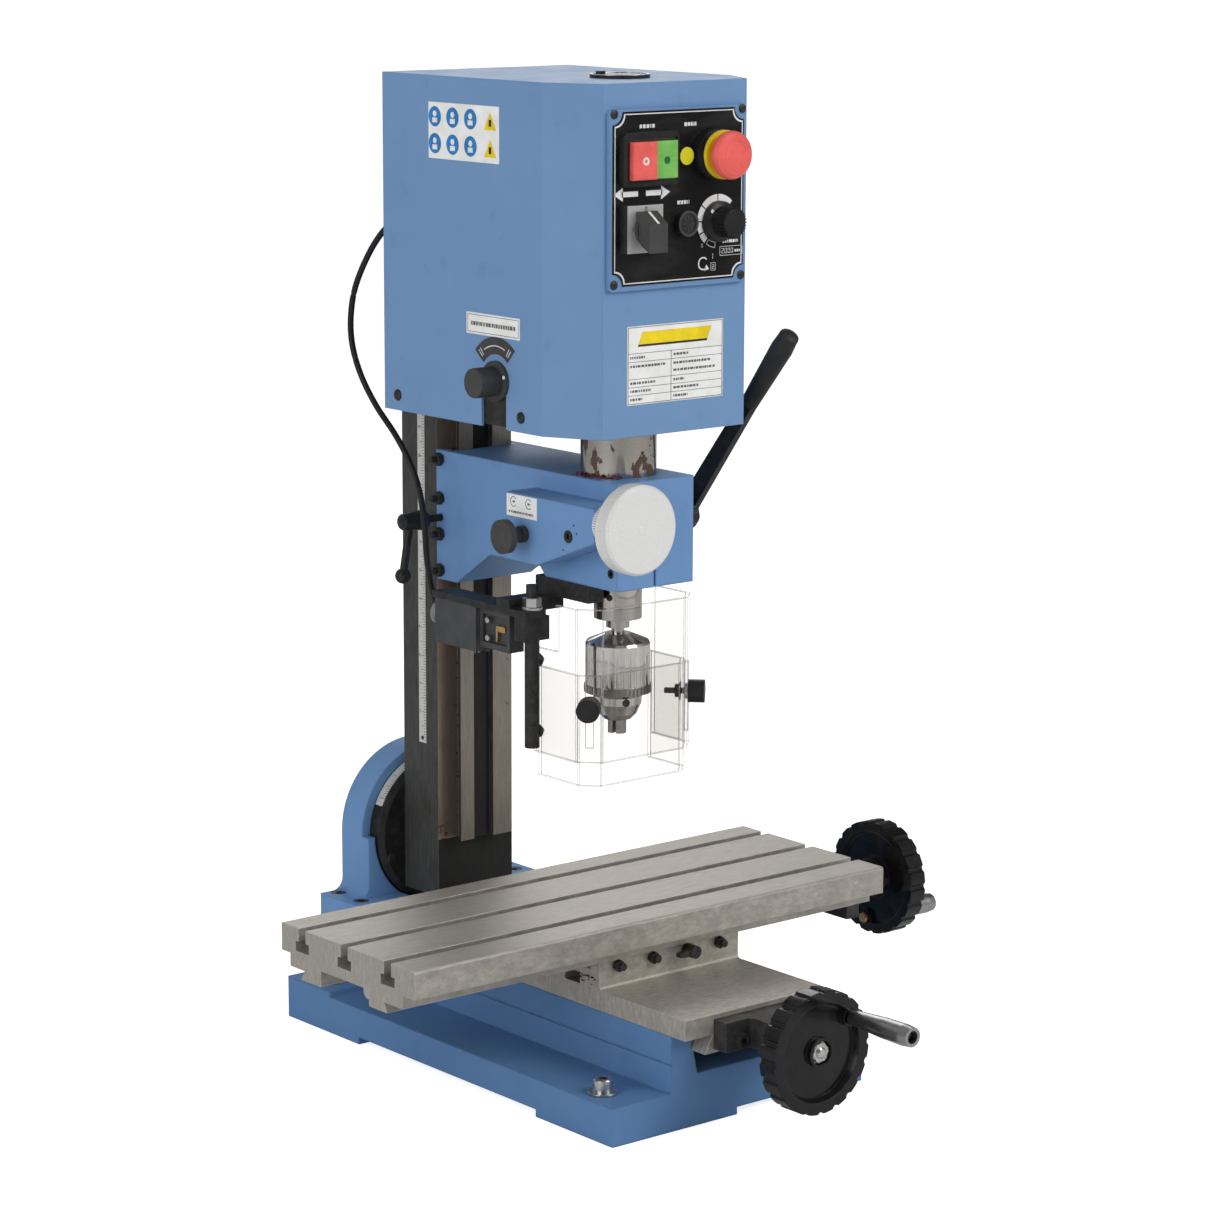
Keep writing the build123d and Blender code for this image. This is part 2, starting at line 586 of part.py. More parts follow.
def lever_point(along, across):
    """(y, z) of a point measured along and across the feed lever."""
    return (FEED_Y + LEVER_DY * along - LEVER_DZ * across,
            FEED_Z + LEVER_DZ * along + LEVER_DY * across)


with BuildPart() as feed_lever:
    rod(*FEED, 12.0, 33.5, 84.5)
    corners = ((0, -7), (0, 7), (104, 5.5), (104, -5.5))
    prism("x", [lever_point(*corner) for corner in corners], LEVER_X - 2.5, LEVER_X + 2.5)
    bore(*FEED, 8.05, 30, 90)
save(feed_lever, "feed_lever")

with BuildPart() as lever_grip:
    grip_plane = Plane(origin=(LEVER_X, *lever_point(104.1, 0)), x_dir=(1, 0, 0),
                       z_dir=(0, LEVER_DY, LEVER_DZ))
    for along, radius in ((0, 6.0), (50, 7.6), (62, 6.6)):
        with BuildSketch(grip_plane.offset(along)):
            Circle(radius)
    loft(ruled=True)
save(lever_grip, "lever_grip")

with BuildPart() as clutch_knob:
    rod(*FEED, 11.3, -76, -71)
    rod(*FEED, 4.0, -71, -51.6)
    rod(*FEED, 5.6, -61, -57.05)
save(clutch_knob, "clutch_knob")

with BuildPart() as fine_feed_dial:
    dial_face = -80
    rod(*FINE, 29.0, dial_face, -68)
    rod(*FINE, 12.7, -68, -45.1)
    rod(*FINE, 5.0, -45.1, 40)
    rod(*FINE, 5.4, 20, 36)                      # worm
    circles = fine_feed_dial.edges().filter_by(GeomType.CIRCLE)
    chamfer(edges_at(circles, Axis.Y, dial_face), 1.5)
save(fine_feed_dial, "fine_feed_dial")

with BuildPart() as worm_wheel:
    # turns freely on the feed shaft's left spigot until the clutch knob is pushed in
    gear(FEED, 38, -51, -42, module=0.5)
    bore(*FEED, 4.05, -60, -30)
save(worm_wheel, "worm_wheel")

with BuildPart() as quill:
    turned(*SPINDLE, [
        (11.55, 318.1), (NOSE_R, 318.1), (NOSE_R, QUILL_Z0), (QUILL_R, QUILL_Z0),
        (QUILL_R, 470), (11.55, 470),
    ])
    # rack along the back, pitch line tangent to the pinion
    pitch_y = FEED_Y - FEED_PITCH_R
    pocket(-30, 30, pitch_y + 1.42, 40, QUILL_Z0 - 1, 425)
    pocket(-13, 13, 13.9, 40, 345, QUILL_Z0 + 1)
    pitch = math.pi * MODULE
    gap_half, slope = pitch / 4 + BACKLASH, math.tan(math.radians(20))
    z = FEED_Z - 3 * pitch
    while z < 424:
        if z + gap_half + 1.5 * slope > QUILL_Z0 and z < 421:
            root, tip = gap_half - 1.9 * slope, gap_half + 2.0 * slope
            prism("x", [
                (pitch_y - 1.9, z - root), (pitch_y + 2.0, z - tip),
                (pitch_y + 2.0, z + tip), (pitch_y - 1.9, z + root),
            ], -30, 30, CUT)
        z += pitch
save(quill, "quill")


# ================================================================= head cover and drive
def head_outline(inset):
    corner = inset * math.tan(math.radians(22.5)) * 1.1
    side_x, back_y = HEAD_HW - inset, HEAD_Y1 - inset
    shoulder_y = HEAD_SHOULDER_Y + corner * 0.5
    front_x, front_y = HEAD_FRONT_HW - corner * 0.7, HEAD_Y0 + inset
    return [(-side_x, back_y), (side_x, back_y), (side_x, shoulder_y),
            (front_x, front_y), (-front_x, front_y), (-side_x, shoulder_y)]


with BuildPart() as head_cover:
    prism("z", head_outline(0), HEAD_Z0, HEAD_Z1)
    prism("z", head_outline(SHEET), HEAD_Z0 - 1, HEAD_Z1 - SHEET, CUT)
    pocket(-25, 25, 140, 160, HEAD_Z0 - 1, 658)      # slot that straddles the column
    bore(*SPINDLE, 10.5, 650, 670)                   # drawbar access
    bore(*CAP_PIN, 1.3, 650, 670)
    bore(*RANGE, 7.1, -90, -70)                      # selector spindle
    pocket(-90, -70, 18.6, 44.4, HEAD_Z0 - 1, 461)
    pocket(-52, 52, -60, -50, 538, 643)              # behind the switch panel
save(head_cover, "head_cover")

with BuildPart() as gearbox_plates:
    for z in (452.0, 505.0):
        prism("z", head_outline(SHEET + 0.1), z, z + 6)
    for x, y in ((-66, 10), (66, 10), (-66, 125), (66, 125)):
        rod("z", x, y, 5, 458, 505)
    bore(*SPINDLE, QUILL_R + RUN, 450, 460)
    bore(*SPINDLE, 13, 460, 520)
    pocket(-25, 25, 141, 155, 440, 520)
    bore(*MOTOR, 20, 500, 515)
    bore(*IDLER, 5.05, 450, 515)
save(gearbox_plates, "gearbox_plates")

with BuildPart() as motor:
    rod(*MOTOR, 38, 511.05, 618)
    rod(*MOTOR, 16, 618, 626)
    bore(*MOTOR, 5.0, 505, 620)
save(motor, "motor")

with BuildPart() as motor_pinion:
    rod(*MOTOR, 4.93, 478, 612)
    gear(MOTOR, 16, 476, 488, phase=bearing(MOTOR, IDLER))
save(motor_pinion, "motor_pinion")

with BuildPart() as idler_gear:
    gear(IDLER, 44, 476, 488, phase=bearing(IDLER, MOTOR) + math.pi / 44)
    rod(*IDLER, 5.0, 453, 510)
    gear(IDLER, 24, 487.5, 500, phase=bearing(IDLER, SPINDLE))
save(idler_gear, "idler_gear")

with BuildPart() as spindle_gear:
    gear(SPINDLE, 56, 489, 499.5, phase=bearing(SPINDLE, IDLER) + math.pi / 56)
    bore(*SPINDLE, 11.55, 480, 505)
save(spindle_gear, "spindle_gear")

with BuildPart() as spindle:
    turned(*SPINDLE, [
        (9.0, 310.0), (NOSE_R, 310.0), (NOSE_R, 318.0), (11.5, 318.0), (11.5, 640),
        (4.6, 640), (4.6, 376), (7.2, 375),
    ])
save(spindle, "spindle")

with BuildPart() as drawbar:
    rod(*SPINDLE, 4.5, 376, 640.05)
    hex_rod(*SPINDLE, 14, 640.1, 650)
    rod(*SPINDLE, 4.5, 640, 652)
save(drawbar, "drawbar")

with BuildPart() as chuck_arbor:
    turned(*SPINDLE, [
        (0, 290), (4.2, 290), (4.2, 303.5), (7.8, 303.5), (7.8, 309.9), (8.9, 309.95),
        (7.1, 374.5), (0, 374.5),
    ])
save(chuck_arbor, "chuck_arbor")

with BuildPart() as chuck_body:
    turned(*SPINDLE, [
        (4.25, 299.5), (9, 299.5), (20.6, 294.6), (21.6, 293.0), (21.6, 262.5),
        (20.2, 260.2), (16.2, 257.5), (16.0, 252.5), (13.0, 245.5), (9.5, 241.8),
        (6.6, 241.8), (6.6, 289.9), (4.25, 289.9),
    ])
    flutes = 30
    for i in range(flutes):
        t = 2 * math.pi * i / flutes
        bore("z", 22.3 * math.cos(t), 22.3 * math.sin(t), 1.2, 266, 291)
save(chuck_body, "chuck_body")

with BuildPart() as chuck_jaws:
    # (radius, angle) round each jaw's tip, which sits 0.5 off the axis
    jaw = ((0, 0), (5.6, -0.9), (6.0, -0.45), (6.0, 0.0), (6.0, 0.45), (5.6, 0.9))
    for i in range(3):
        turn = 2 * math.pi * i / 3 + 0.5
        tip_x, tip_y = 0.5 * math.cos(turn), 0.5 * math.sin(turn)
        points = [(tip_x + r * math.cos(turn + t), tip_y + r * math.sin(turn + t)) for r, t in jaw]
        prism("z", points, 232.0, 288)
save(chuck_jaws, "chuck_jaws")

# ================================================================= panel and controls
PANEL_T = 3.0
PANEL_Y = HEAD_Y0 - PANEL_T                      # front face of the panel
BUTTON_Z0, BUTTON_Z1 = 603.6, 627.5

with BuildPart() as control_panel:
    with BuildSketch(Plane.XZ.offset(-HEAD_Y0)):
        with Locations((0, 590.65)):
            RectangleRounded(114.0, 114.1, 3)
    extrude(amount=PANEL_T)
    box(-50, 50, HEAD_Y0, HEAD_Y0 + 1.5, 540, 641)
    pocket(-44.7, -5.3, HEAD_Y0 - 5, HEAD_Y0 + 5, 603.2, 627.8)
    for line, radius in ((LAMP, 5.1), (DIRECTION, 11), (FUSE, 7.1), (SPEED, 6.2), (STOP, 12.9)):
        bore(*line, radius, HEAD_Y0 - 5, HEAD_Y0 + 5)
save(control_panel, "control_panel")

with BuildPart() as panel_fittings:
    # power switch bezel
    box(-48.5, -4.4, PANEL_Y - 4.4, PANEL_Y, 600.6, 632.0)
    for x0, x1 in ((-44.4, -24.8), (-24.3, -5.5)):
        pocket(x0, x1, PANEL_Y - 20, PANEL_Y + 20, 603.5, 627.6)
    # lamp
    rod(*LAMP, 6.0, PANEL_Y - 5.5, PANEL_Y)
    rod(*LAMP, 5.0, PANEL_Y, PANEL_Y + 14)
    # direction switch body
    box(-48.7, -19.5, PANEL_Y - 8.0, PANEL_Y, 558, 588)
    rod(*DIRECTION, 10.8, PANEL_Y, PANEL_Y + 30)
    bore(*DIRECTION, 4.05, PANEL_Y - 10, PANEL_Y + 31)
    # fuse cap
    rod(*FUSE, 8.2, PANEL_Y - 5, PANEL_Y)
    rod(*FUSE, 7.0, PANEL_Y, PANEL_Y + 28)
    # stop button collar
    rod(*STOP, 16.0, PANEL_Y - 7.5, PANEL_Y)
    rod(*STOP, 15.0, PANEL_Y - 11.6, PANEL_Y - 7.5)
    rod(*STOP, 15.6, PANEL_Y - 14.2, PANEL_Y - 11.6)
    rod(*STOP, 12.8, PANEL_Y, PANEL_Y + 34)
    bore(*STOP, 9.05, PANEL_Y - 16, PANEL_Y + 28)
    # speed dial body
    rod(*SPEED, 6.1, PANEL_Y, PANEL_Y + 14)
    bore(*SPEED, 3.05, PANEL_Y - 5, PANEL_Y + 15)
save(panel_fittings, "panel_fittings")

# name, x limits, how far it stands out of the panel
for name, x0, x1, proud in (("red_button", -44.3, -24.9, 9.2), ("green_button", -24.2, -5.6, 6.4)):
    with BuildPart() as button:
        box(x0, x1, PANEL_Y - proud, PANEL_Y + 1.5, BUTTON_Z0, BUTTON_Z1)
        fillet(edges_at(button.edges(), Axis.Y, PANEL_Y - proud), 1.0)
    save(button, name)


def turned_behind_panel(line, profile):
    """Turned piece whose profile positions are measured from the panel face, + inward."""
    turned(*line, [(radius, PANEL_Y + depth) for radius, depth in profile])


with BuildPart() as emergency_stop:
    turned_behind_panel(STOP, [
        (0, -26.0), (7, -26.0), (12.0, -25.4), (14.6, -23.6), (15.5, -21.2),
        (15.2, -18.6), (13.5, -17.6), (9.0, -17.6), (9.0, 20), (0, 20),
    ])
save(emergency_stop, "emergency_stop")

with BuildPart() as direction_knob:
    rod(*DIRECTION, 9.0, PANEL_Y - 10.6, PANEL_Y - 8.1)
    # (distance in front of the panel, z)
    side = ((8.2, 584.2), (10.5, 584.4), (21.0, 577.0), (21.0, 558.8), (14.0, 562.5), (8.2, 567.0))
    points = [(PANEL_Y - out, z) for out, z in side]
    prism("x", points, DIRECTION_X - 7.4, DIRECTION_X + 7.6)
    rod(*DIRECTION, 4.0, PANEL_Y - 8.2, PANEL_Y + 25)
save(direction_knob, "direction_knob")

with BuildPart() as speed_knob:
    turned_behind_panel(SPEED, [
        (0, -18), (8.4, -18), (9.0, -17.4), (10.0, -6), (13.0, -4.5),
        (13.2, -1.0), (3.0, -1.0), (3.0, 12), (0, 12),
    ])
save(speed_knob, "speed_knob")

with BuildPart() as range_knob:
    rod(*RANGE, 9.5, -98.0, -81)
    rod(*RANGE, 13.2, -81.2, -78.9)
    rod(*RANGE, 7.0, -79, -60)
save(range_knob, "range_knob")

with BuildPart() as top_cap:
    rod(*SPINDLE, 19.5, HEAD_Z1 + 0.05, HEAD_Z1 + 2.0)
    rod(*CAP_PIN, 1.25, 659, HEAD_Z1 + 1)
    rod(*CAP_PIN, 3.2, HEAD_Z1 + 1.5, HEAD_Z1 + 4.2)
save(top_cap, "top_cap")

# ================================================================= chip guard
GUARD_T, LOWER_INSET = 2.6, 3.2                  # wall, lower guard inside the upper one
GUARD_HW, GUARD_Y0 = 49, -29
CORNER_X, CORNER_Y = 36, -16                     # ends of the 45 degree corner walls
KNOB_X, KNOB_Y, KNOB_Z = 42.5, -22.5, 258

with BuildPart() as guard_rod:
    rod(*GUARD_ROD, 5.0, 225.5, 297.95)
    rod(*GUARD_ROD, 4.0, 297.9, 334.8)
    hex_rod(*GUARD_ROD, 11, 320.2, 326.5)
    rod(*GUARD_ROD, 7.0, 318.55, 320.2)
    for screw in GUARD_SCREWS:
        rod(*screw, 2.0, -52, -46.45)
        rod(*screw, 4.5, -52, -49.05)
save(guard_rod, "guard_rod")

with BuildPart() as guard_upper:
    inner_x, inner_y = GUARD_HW - GUARD_T, GUARD_Y0 + GUARD_T
    prism("z", [
        (-GUARD_HW, 28), (-GUARD_HW, CORNER_Y), (-CORNER_X, GUARD_Y0), (CORNER_X, GUARD_Y0),
        (GUARD_HW, CORNER_Y), (GUARD_HW, 20), (inner_x, 20), (inner_x, -14.9),
        (34.9, inner_y), (-34.9, inner_y), (-inner_x, -14.9), (-inner_x, 28),
    ], 221, 323)
    pocket(-50, -40, 4.4, 30, 292, 330)
    for screw in GUARD_SCREWS:
        bore(*screw, 2.05, -55, -40)
    # knob slots in the corner walls
    for s in SIDES:
        with Locations(Location((s * KNOB_X, KNOB_Y, 254.5), (0, 0, s * 45))):
            Box(5, 8, 47, mode=CUT)
save(guard_upper, "guard_upper")


def guard_line(inset):
    """Open line round the guard from its left rear end to its right, set in evenly."""
    corner = inset * math.tan(math.radians(22.5))
    side_x, front_y = GUARD_HW - inset, GUARD_Y0 + inset
    return [(-side_x, 27), (-side_x, CORNER_Y + corner), (-CORNER_X + corner, front_y),
            (CORNER_X - corner, front_y), (side_x, CORNER_Y + corner), (side_x, 20)]


with BuildPart() as guard_lower:
    inner_line = guard_line(LOWER_INSET + GUARD_T)[::-1]
    prism("z", guard_line(LOWER_INSET) + inner_line, 204.5, 278.5)
    for s in SIDES:
        with Locations(Location((s * KNOB_X, KNOB_Y, KNOB_Z), (0, 0, s * 45))):
            Cylinder(2.1, 40, rotation=(90, 0, 0), mode=CUT)
save(guard_lower, "guard_lower")

with BuildPart() as guard_knobs:
    for s in SIDES:
        outward = Vector(s, -1, 0).normalized()
        # radius, start and end outward: stud, knob, inner nut
        for radius, start, end in ((2.0, -16, 3), (7.8, 0.1, 11.1), (4.5, -8.8, -5.9)):
            middle = Vector(s * KNOB_X, KNOB_Y, KNOB_Z) + outward * ((start + end) / 2)
            with Locations(Location((middle.X, middle.Y, middle.Z), (0, 0, s * 45))):
                Cylinder(radius, end - start, rotation=(90, 0, 0))
save(guard_knobs, "guard_knobs")
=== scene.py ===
"""Looks of a small bench milling machine.

The base stands on the floor at z = 0, the table runs along X, the switch panel faces -Y (front)
and the column stands at +Y (back). "Left" is -X. Materials and the scene are in metres;
added shapes are in millimetres, turned into metres when their mesh is made.
"""
import math
import random

import bmesh
import bpy
from mathutils import Matrix, Vector


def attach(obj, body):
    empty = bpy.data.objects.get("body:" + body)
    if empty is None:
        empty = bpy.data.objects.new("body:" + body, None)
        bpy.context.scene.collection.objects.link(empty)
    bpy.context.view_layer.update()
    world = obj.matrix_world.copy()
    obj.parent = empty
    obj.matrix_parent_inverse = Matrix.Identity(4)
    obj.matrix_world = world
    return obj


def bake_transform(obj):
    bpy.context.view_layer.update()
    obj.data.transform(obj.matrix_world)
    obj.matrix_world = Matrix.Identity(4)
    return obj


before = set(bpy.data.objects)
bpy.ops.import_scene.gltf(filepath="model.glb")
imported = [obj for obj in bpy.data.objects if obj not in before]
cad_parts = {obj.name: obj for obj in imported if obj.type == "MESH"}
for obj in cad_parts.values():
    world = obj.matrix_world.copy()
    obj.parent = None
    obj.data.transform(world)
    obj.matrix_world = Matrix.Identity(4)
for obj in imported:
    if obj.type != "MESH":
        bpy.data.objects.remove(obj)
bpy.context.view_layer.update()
MM = 0.001


# ------------------------------------------------------------------ material helpers
def tone(color, gain, add=0):
    """A colour times gain plus add, held at 1."""
    return tuple(min(1, v * gain + add) for v in color)


class Mat:
    """A principled material with helpers for detail in object coordinates (metres)."""

    def __init__(self, name, color, rough, metal=0.0):
        self.material = bpy.data.materials.new(name)
        self.material.use_nodes = True
        self.material.diffuse_color = (*color, 1)
        self.tree = self.material.node_tree
        self.tree.nodes.clear()
        self.output = self.node("ShaderNodeOutputMaterial")
        self.shader = self.node("ShaderNodeBsdfPrincipled")
        self.link(self.shader.outputs[0], self.output.inputs[0])
        self.put(self.shader.inputs["Base Color"], color)
        self.put(self.shader.inputs["Roughness"], rough)
        self.put(self.shader.inputs["Metallic"], metal)
        self.coords = self.node("ShaderNodeTexCoord")
        self.color = self.rough = self.metal = self.normal = None

    def node(self, kind, **props):
        node = self.tree.nodes.new(kind)
        for key, value in props.items():
            setattr(node, key, value)
        return node

    def link(self, source, socket):
        self.tree.links.new(source, socket)

    def put(self, socket, value):
        """Set a number or a colour, or link an output."""
        if isinstance(value, (int, float)):
            socket.default_value = value
        elif isinstance(value, tuple):
            socket.default_value = (*value, 1)
        else:
            self.link(value, socket)

    def specular(self, level):
        self.put(self.shader.inputs["Specular IOR Level"], level)

    def math(self, operation, a, b=0.0, clamp=False):
        node = self.node("ShaderNodeMath", operation=operation, use_clamp=clamp)
        self.put(node.inputs[0], a)
        self.put(node.inputs[1], b)
        return node.outputs[0]

    def times(self, first, *factors):
        for factor in factors:
            first = self.math("MULTIPLY", first, factor)
        return first

    def invert(self, value):
        return self.math("SUBTRACT", 1.0, value)

    def above(self, value, limit):
        return self.math("GREATER_THAN", value, limit)

    def below(self, value, limit):
        return self.math("LESS_THAN", value, limit)

    def between(self, value, low, high):
        """Two masks, to be multiplied with others."""
        return self.above(value, low), self.below(value, high)

    def stretched(self, texture, stretch):
        mapping = self.node("ShaderNodeMapping")
        mapping.inputs["Scale"].default_value = stretch
        self.link(self.coords.outputs["Object"], mapping.inputs["Vector"])
        self.link(mapping.outputs[0], texture.inputs["Vector"])

    def noise(self, scale, detail=3.0, rough=0.5, stretch=(1, 1, 1), warp=0.0):
        node = self.node("ShaderNodeTexNoise")
        node.inputs["Scale"].default_value = scale
        node.inputs["Detail"].default_value = detail
        node.inputs["Roughness"].default_value = rough
        node.inputs["Distortion"].default_value = warp
        self.stretched(node, stretch)
        return node.outputs["Fac"]

    def cells(self, scale):
        node = self.node("ShaderNodeTexVoronoi", feature="F1")
        node.inputs["Scale"].default_value = scale
        self.stretched(node, (1, 1, 1))
        return node.outputs["Distance"]

    def band(self, value, low, high, out=(0.0, 1.0)):
        """Map low..high onto the out range."""
        node = self.node("ShaderNodeMapRange")
        self.put(node.inputs[0], value)
        for i, limit in enumerate((low, high, *out)):
            node.inputs[i + 1].default_value = limit
        return node.outputs[0]

    def mix(self, factor, a, b):
        node = self.node("ShaderNodeMix", data_type="RGBA")
        for i, value in ((0, factor), (6, a), (7, b)):
            self.put(node.inputs[i], value)
        return node.outputs[2]

    def mix_number(self, factor, a, b):
        node = self.node("ShaderNodeMix", data_type="FLOAT")
        for i, value in ((0, factor), (2, a), (3, b)):
            self.put(node.inputs[i], value)
        return node.outputs[0]

    def coord(self, kind="Object"):
        """The x, y, z outputs of the position, or of the normal."""
        node = self.node("ShaderNodeSeparateXYZ")
        self.link(self.coords.outputs[kind], node.inputs[0])
        return node.outputs

    def round_edges(self, radius, samples=4):
        bevel = self.node("ShaderNodeBevel", samples=samples)
        bevel.inputs["Radius"].default_value = radius
        self.normal = bevel.outputs[0]

    def edge(self, radius, samples=4):
        """Round the edges and return a mask, 1 close to a sharp edge and 0 on flats."""
        self.round_edges(radius, samples)
        facing = self.node("ShaderNodeVectorMath", operation="DOT_PRODUCT")
        self.link(self.normal, facing.inputs[0])
        self.link(self.node("ShaderNodeNewGeometry").outputs["Normal"], facing.inputs[1])
        return self.band(facing.outputs["Value"], 1.0, 0.82)

    def finish(self, *bumps):
        """Stack (height, strength) bumps and connect colour, roughness and metal."""
        for height, strength in bumps:
            bump = self.node("ShaderNodeBump")
            bump.inputs["Strength"].default_value = strength
            bump.inputs["Distance"].default_value = 0.0002
            self.put(bump.inputs["Height"], height)
            if self.normal is not None:
                self.link(self.normal, bump.inputs["Normal"])
            self.normal = bump.outputs[0]
        self.link(self.normal, self.shader.inputs["Normal"])
        for socket, value in (("Base Color", self.color), ("Roughness", self.rough),
                              ("Metallic", self.metal)):
            if value is not None:
                self.put(self.shader.inputs[socket], value)
        return self.material

    def output_mix(self, factor, first, second):
        """Send a mix of two shaders to the output."""
        mixer = self.node("ShaderNodeMixShader")
        for i, source in enumerate((factor, first.outputs[0], second.outputs[0])):
            self.link(source, mixer.inputs[i])
        self.link(mixer.outputs[0], self.output.inputs[0])


# ------------------------------------------------------------------ painted iron
def paint(name, base, dark, radius, cast):
    """Enamel, chipped at its edges; cast scales the relief. Returns the Mat and its bumps."""
    worn = (0.30, 0.34, 0.38)
    mat = Mat(name, base, rough=0.42)
    edge = mat.edge(radius)
    stain = mat.band(mat.noise(60, detail=4, rough=0.6), 0.60, 0.75)
    scratch = mat.noise(700, detail=3, rough=0.6, stretch=(1, 1, 0.06))
    chip = mat.times(mat.above(mat.noise(260, detail=5, rough=0.7), 0.57),
                     mat.band(edge, 0.35, 0.8))
    color = mat.mix(mat.band(mat.noise(9, detail=4, rough=0.6), 0.35, 0.7), base, dark)
    color = mat.mix(mat.times(stain, 0.25), color, tone(dark, 0.72))
    color = mat.mix(mat.times(chip, 0.45), color, worn)
    mat.color = mat.mix(mat.times(mat.band(scratch, 0.70, 0.78), 0.22), color, worn)
    mat.rough = mat.band(mat.noise(30, detail=5, rough=0.65), 0.3, 0.7, out=(0.36, 0.52))
    mat.specular(0.09)
    return mat, [(mat.noise(45, detail=3), 0.10 * cast), (mat.noise(900, detail=2), 0.06 * cast)]


BLUE_DARK = (0.178, 0.316, 0.548)


def painted_sheet(name, base, cast, radius):
    mat, bumps = paint(name, base, BLUE_DARK, radius, cast)
    return mat.finish(*bumps)


def casting(name, machined, painted_light_gain=1.48):
    """Painted casting, bare iron where the machined mask is 1; the gain argument brightens the
    paint as painted light, so one paint gets lit copies.
    """
    gain = (painted_light_gain, painted_light_gain ** 0.8, painted_light_gain ** 0.65)
    base, dark = (tuple(v * g for v, g in zip(color, gain))
                  for color in ((0.128, 0.258, 0.490), (0.108, 0.226, 0.445)))
    mat, bumps = paint(name, base, dark, radius=0.0022, cast=1.6)
    mask = machined(mat)
    grain = mat.noise(240, detail=3, rough=0.6, stretch=(0.3, 1, 1))
    iron = mat.mix(grain, (0.34, 0.31, 0.27), (0.20, 0.18, 0.16))
    mat.color = mat.mix(mask, mat.color, iron)
    mat.metal = mat.times(mask, 0.75)
    mat.rough = mat.mix_number(mask, mat.rough, 0.38)
    return mat.finish(*bumps)


def base_machined(mat):
    """The top of the base and the lower flat between its ways."""
    x, y, z = mat.coord()
    from_middle = mat.math("ABSOLUTE", x)
    top = mat.times(mat.above(z, 0.0631), mat.below(from_middle, 0.0592), mat.below(y, 0.1855))
    way = mat.times(mat.above(z, 0.0519), mat.below(from_middle, 0.0436), mat.below(y, 0.1775))
    return mat.math("MAXIMUM", top, way)


def head_machined(mat):
    """The quill bore and the back face."""
    x, y, z = mat.coord()
    radius_squared = mat.math("ADD", mat.times(x, x), mat.times(y, y))
    bore = mat.below(radius_squared, 0.02512 ** 2)
    back = mat.times(mat.above(y, 0.1428), mat.below(mat.math("ABSOLUTE", x), 0.0268))
    return mat.math("MAXIMUM", bore, back)


def bracket_machined(mat):
    """A thin slice in y; the height limit lies above the machine, so the mask stays 0."""
    return mat.times(mat.below(mat.coord()[1], 0.2086), mat.above(mat.coord()[1], 0.2083),
                     mat.above(mat.coord()[2], 9.0))


blue_sheet = painted_sheet("blue_sheet_paint", (0.196, 0.342, 0.582), cast=0.35, radius=0.0008)
blue_panel = painted_sheet("blue_panel_plate", (0.135, 0.262, 0.490), cast=0.25, radius=0.0006)
# One paint in three copies: the darker base (gain 1) is painted shade, the brighter head and
# bracket (gain 1.48) are painted light.
blue_base = casting("blue_cast_base", base_machined, painted_light_gain=1.0)
blue_head = casting("blue_cast_head", head_machined)
blue_bracket = casting("blue_cast_bracket", bracket_machined)


# ------------------------------------------------------------------ bare and blackened metal
def ground(name, light, dark, stretch=(0.6, 14, 1), metal=0.55, rough=(0.36, 0.52),
           radius=0.0008, spots=0.35):
    """Ground iron with tool lines along the least stretched axis, blots and dark pits."""
    mat = Mat(name, light, rough=0.45, metal=metal)
    edge = mat.edge(radius)
    lines = mat.noise(140, detail=5, rough=0.75, stretch=stretch)
    blots = mat.band(mat.noise(14, detail=5, rough=0.6), 0.52, 0.75)
    pits = mat.times(mat.band(mat.cells(420), 0.0, 0.16, out=(1.0, 0.0)),
                     mat.above(mat.noise(60), 0.56))
    smears = mat.noise(320, detail=4, rough=0.7, stretch=(0.35, 2.2, 1))
    color = mat.mix(mat.band(lines, 0.35, 0.68), dark, light)
    color = mat.mix(mat.times(blots, 0.35), color, tone(dark, 0.70))
    color = mat.mix(mat.times(pits, spots), color, (0.10, 0.08, 0.065))
    color = mat.mix(mat.times(mat.band(smears, 0.45, 0.75), 0.38), color, tone(dark, 0.62))
    # Brighter edges: partly real wear, partly a painted highlight along every sharp edge.
    mat.color = mat.mix(mat.times(mat.band(edge, 0.25, 0.8), 0.8), color, tone(light, 1.5))
    mat.rough = mat.band(mat.noise(90, detail=4, rough=0.7, stretch=stretch), 0.3, 0.7, out=rough)
    return mat.finish((lines, 0.22), (mat.noise(1100, detail=2), 0.10))


def black(name, base=(0.022, 0.022, 0.023), rough=(0.30, 0.52), metal=0.35, radius=0.0006,
          rust=0.0):
    """Blackened metal, worn at the edges."""
    mat = Mat(name, base, rough=0.4, metal=metal)
    edge = mat.edge(radius)
    cloud = mat.band(mat.noise(120, detail=5, rough=0.7), 0.4, 0.7)
    wear = mat.band(mat.noise(400, detail=4), 0.35, 0.6, out=(0.15, 0.75))
    color = mat.mix(cloud, base, tone(base, 2.0))
    color = mat.mix(mat.times(mat.band(edge, 0.3, 0.9), wear), color, (0.16, 0.15, 0.14))
    if rust:
        patches = mat.band(mat.noise(55, detail=6, rough=0.7), 0.60, 0.72)
        color = mat.mix(mat.times(patches, rust), color, (0.12, 0.055, 0.03))
    mat.color = color
    mat.rough = mat.band(mat.noise(70, detail=4, rough=0.6), 0.3, 0.7, out=rough)
    mat.specular(0.3)
    return mat.finish((mat.noise(500, detail=3), 0.10))


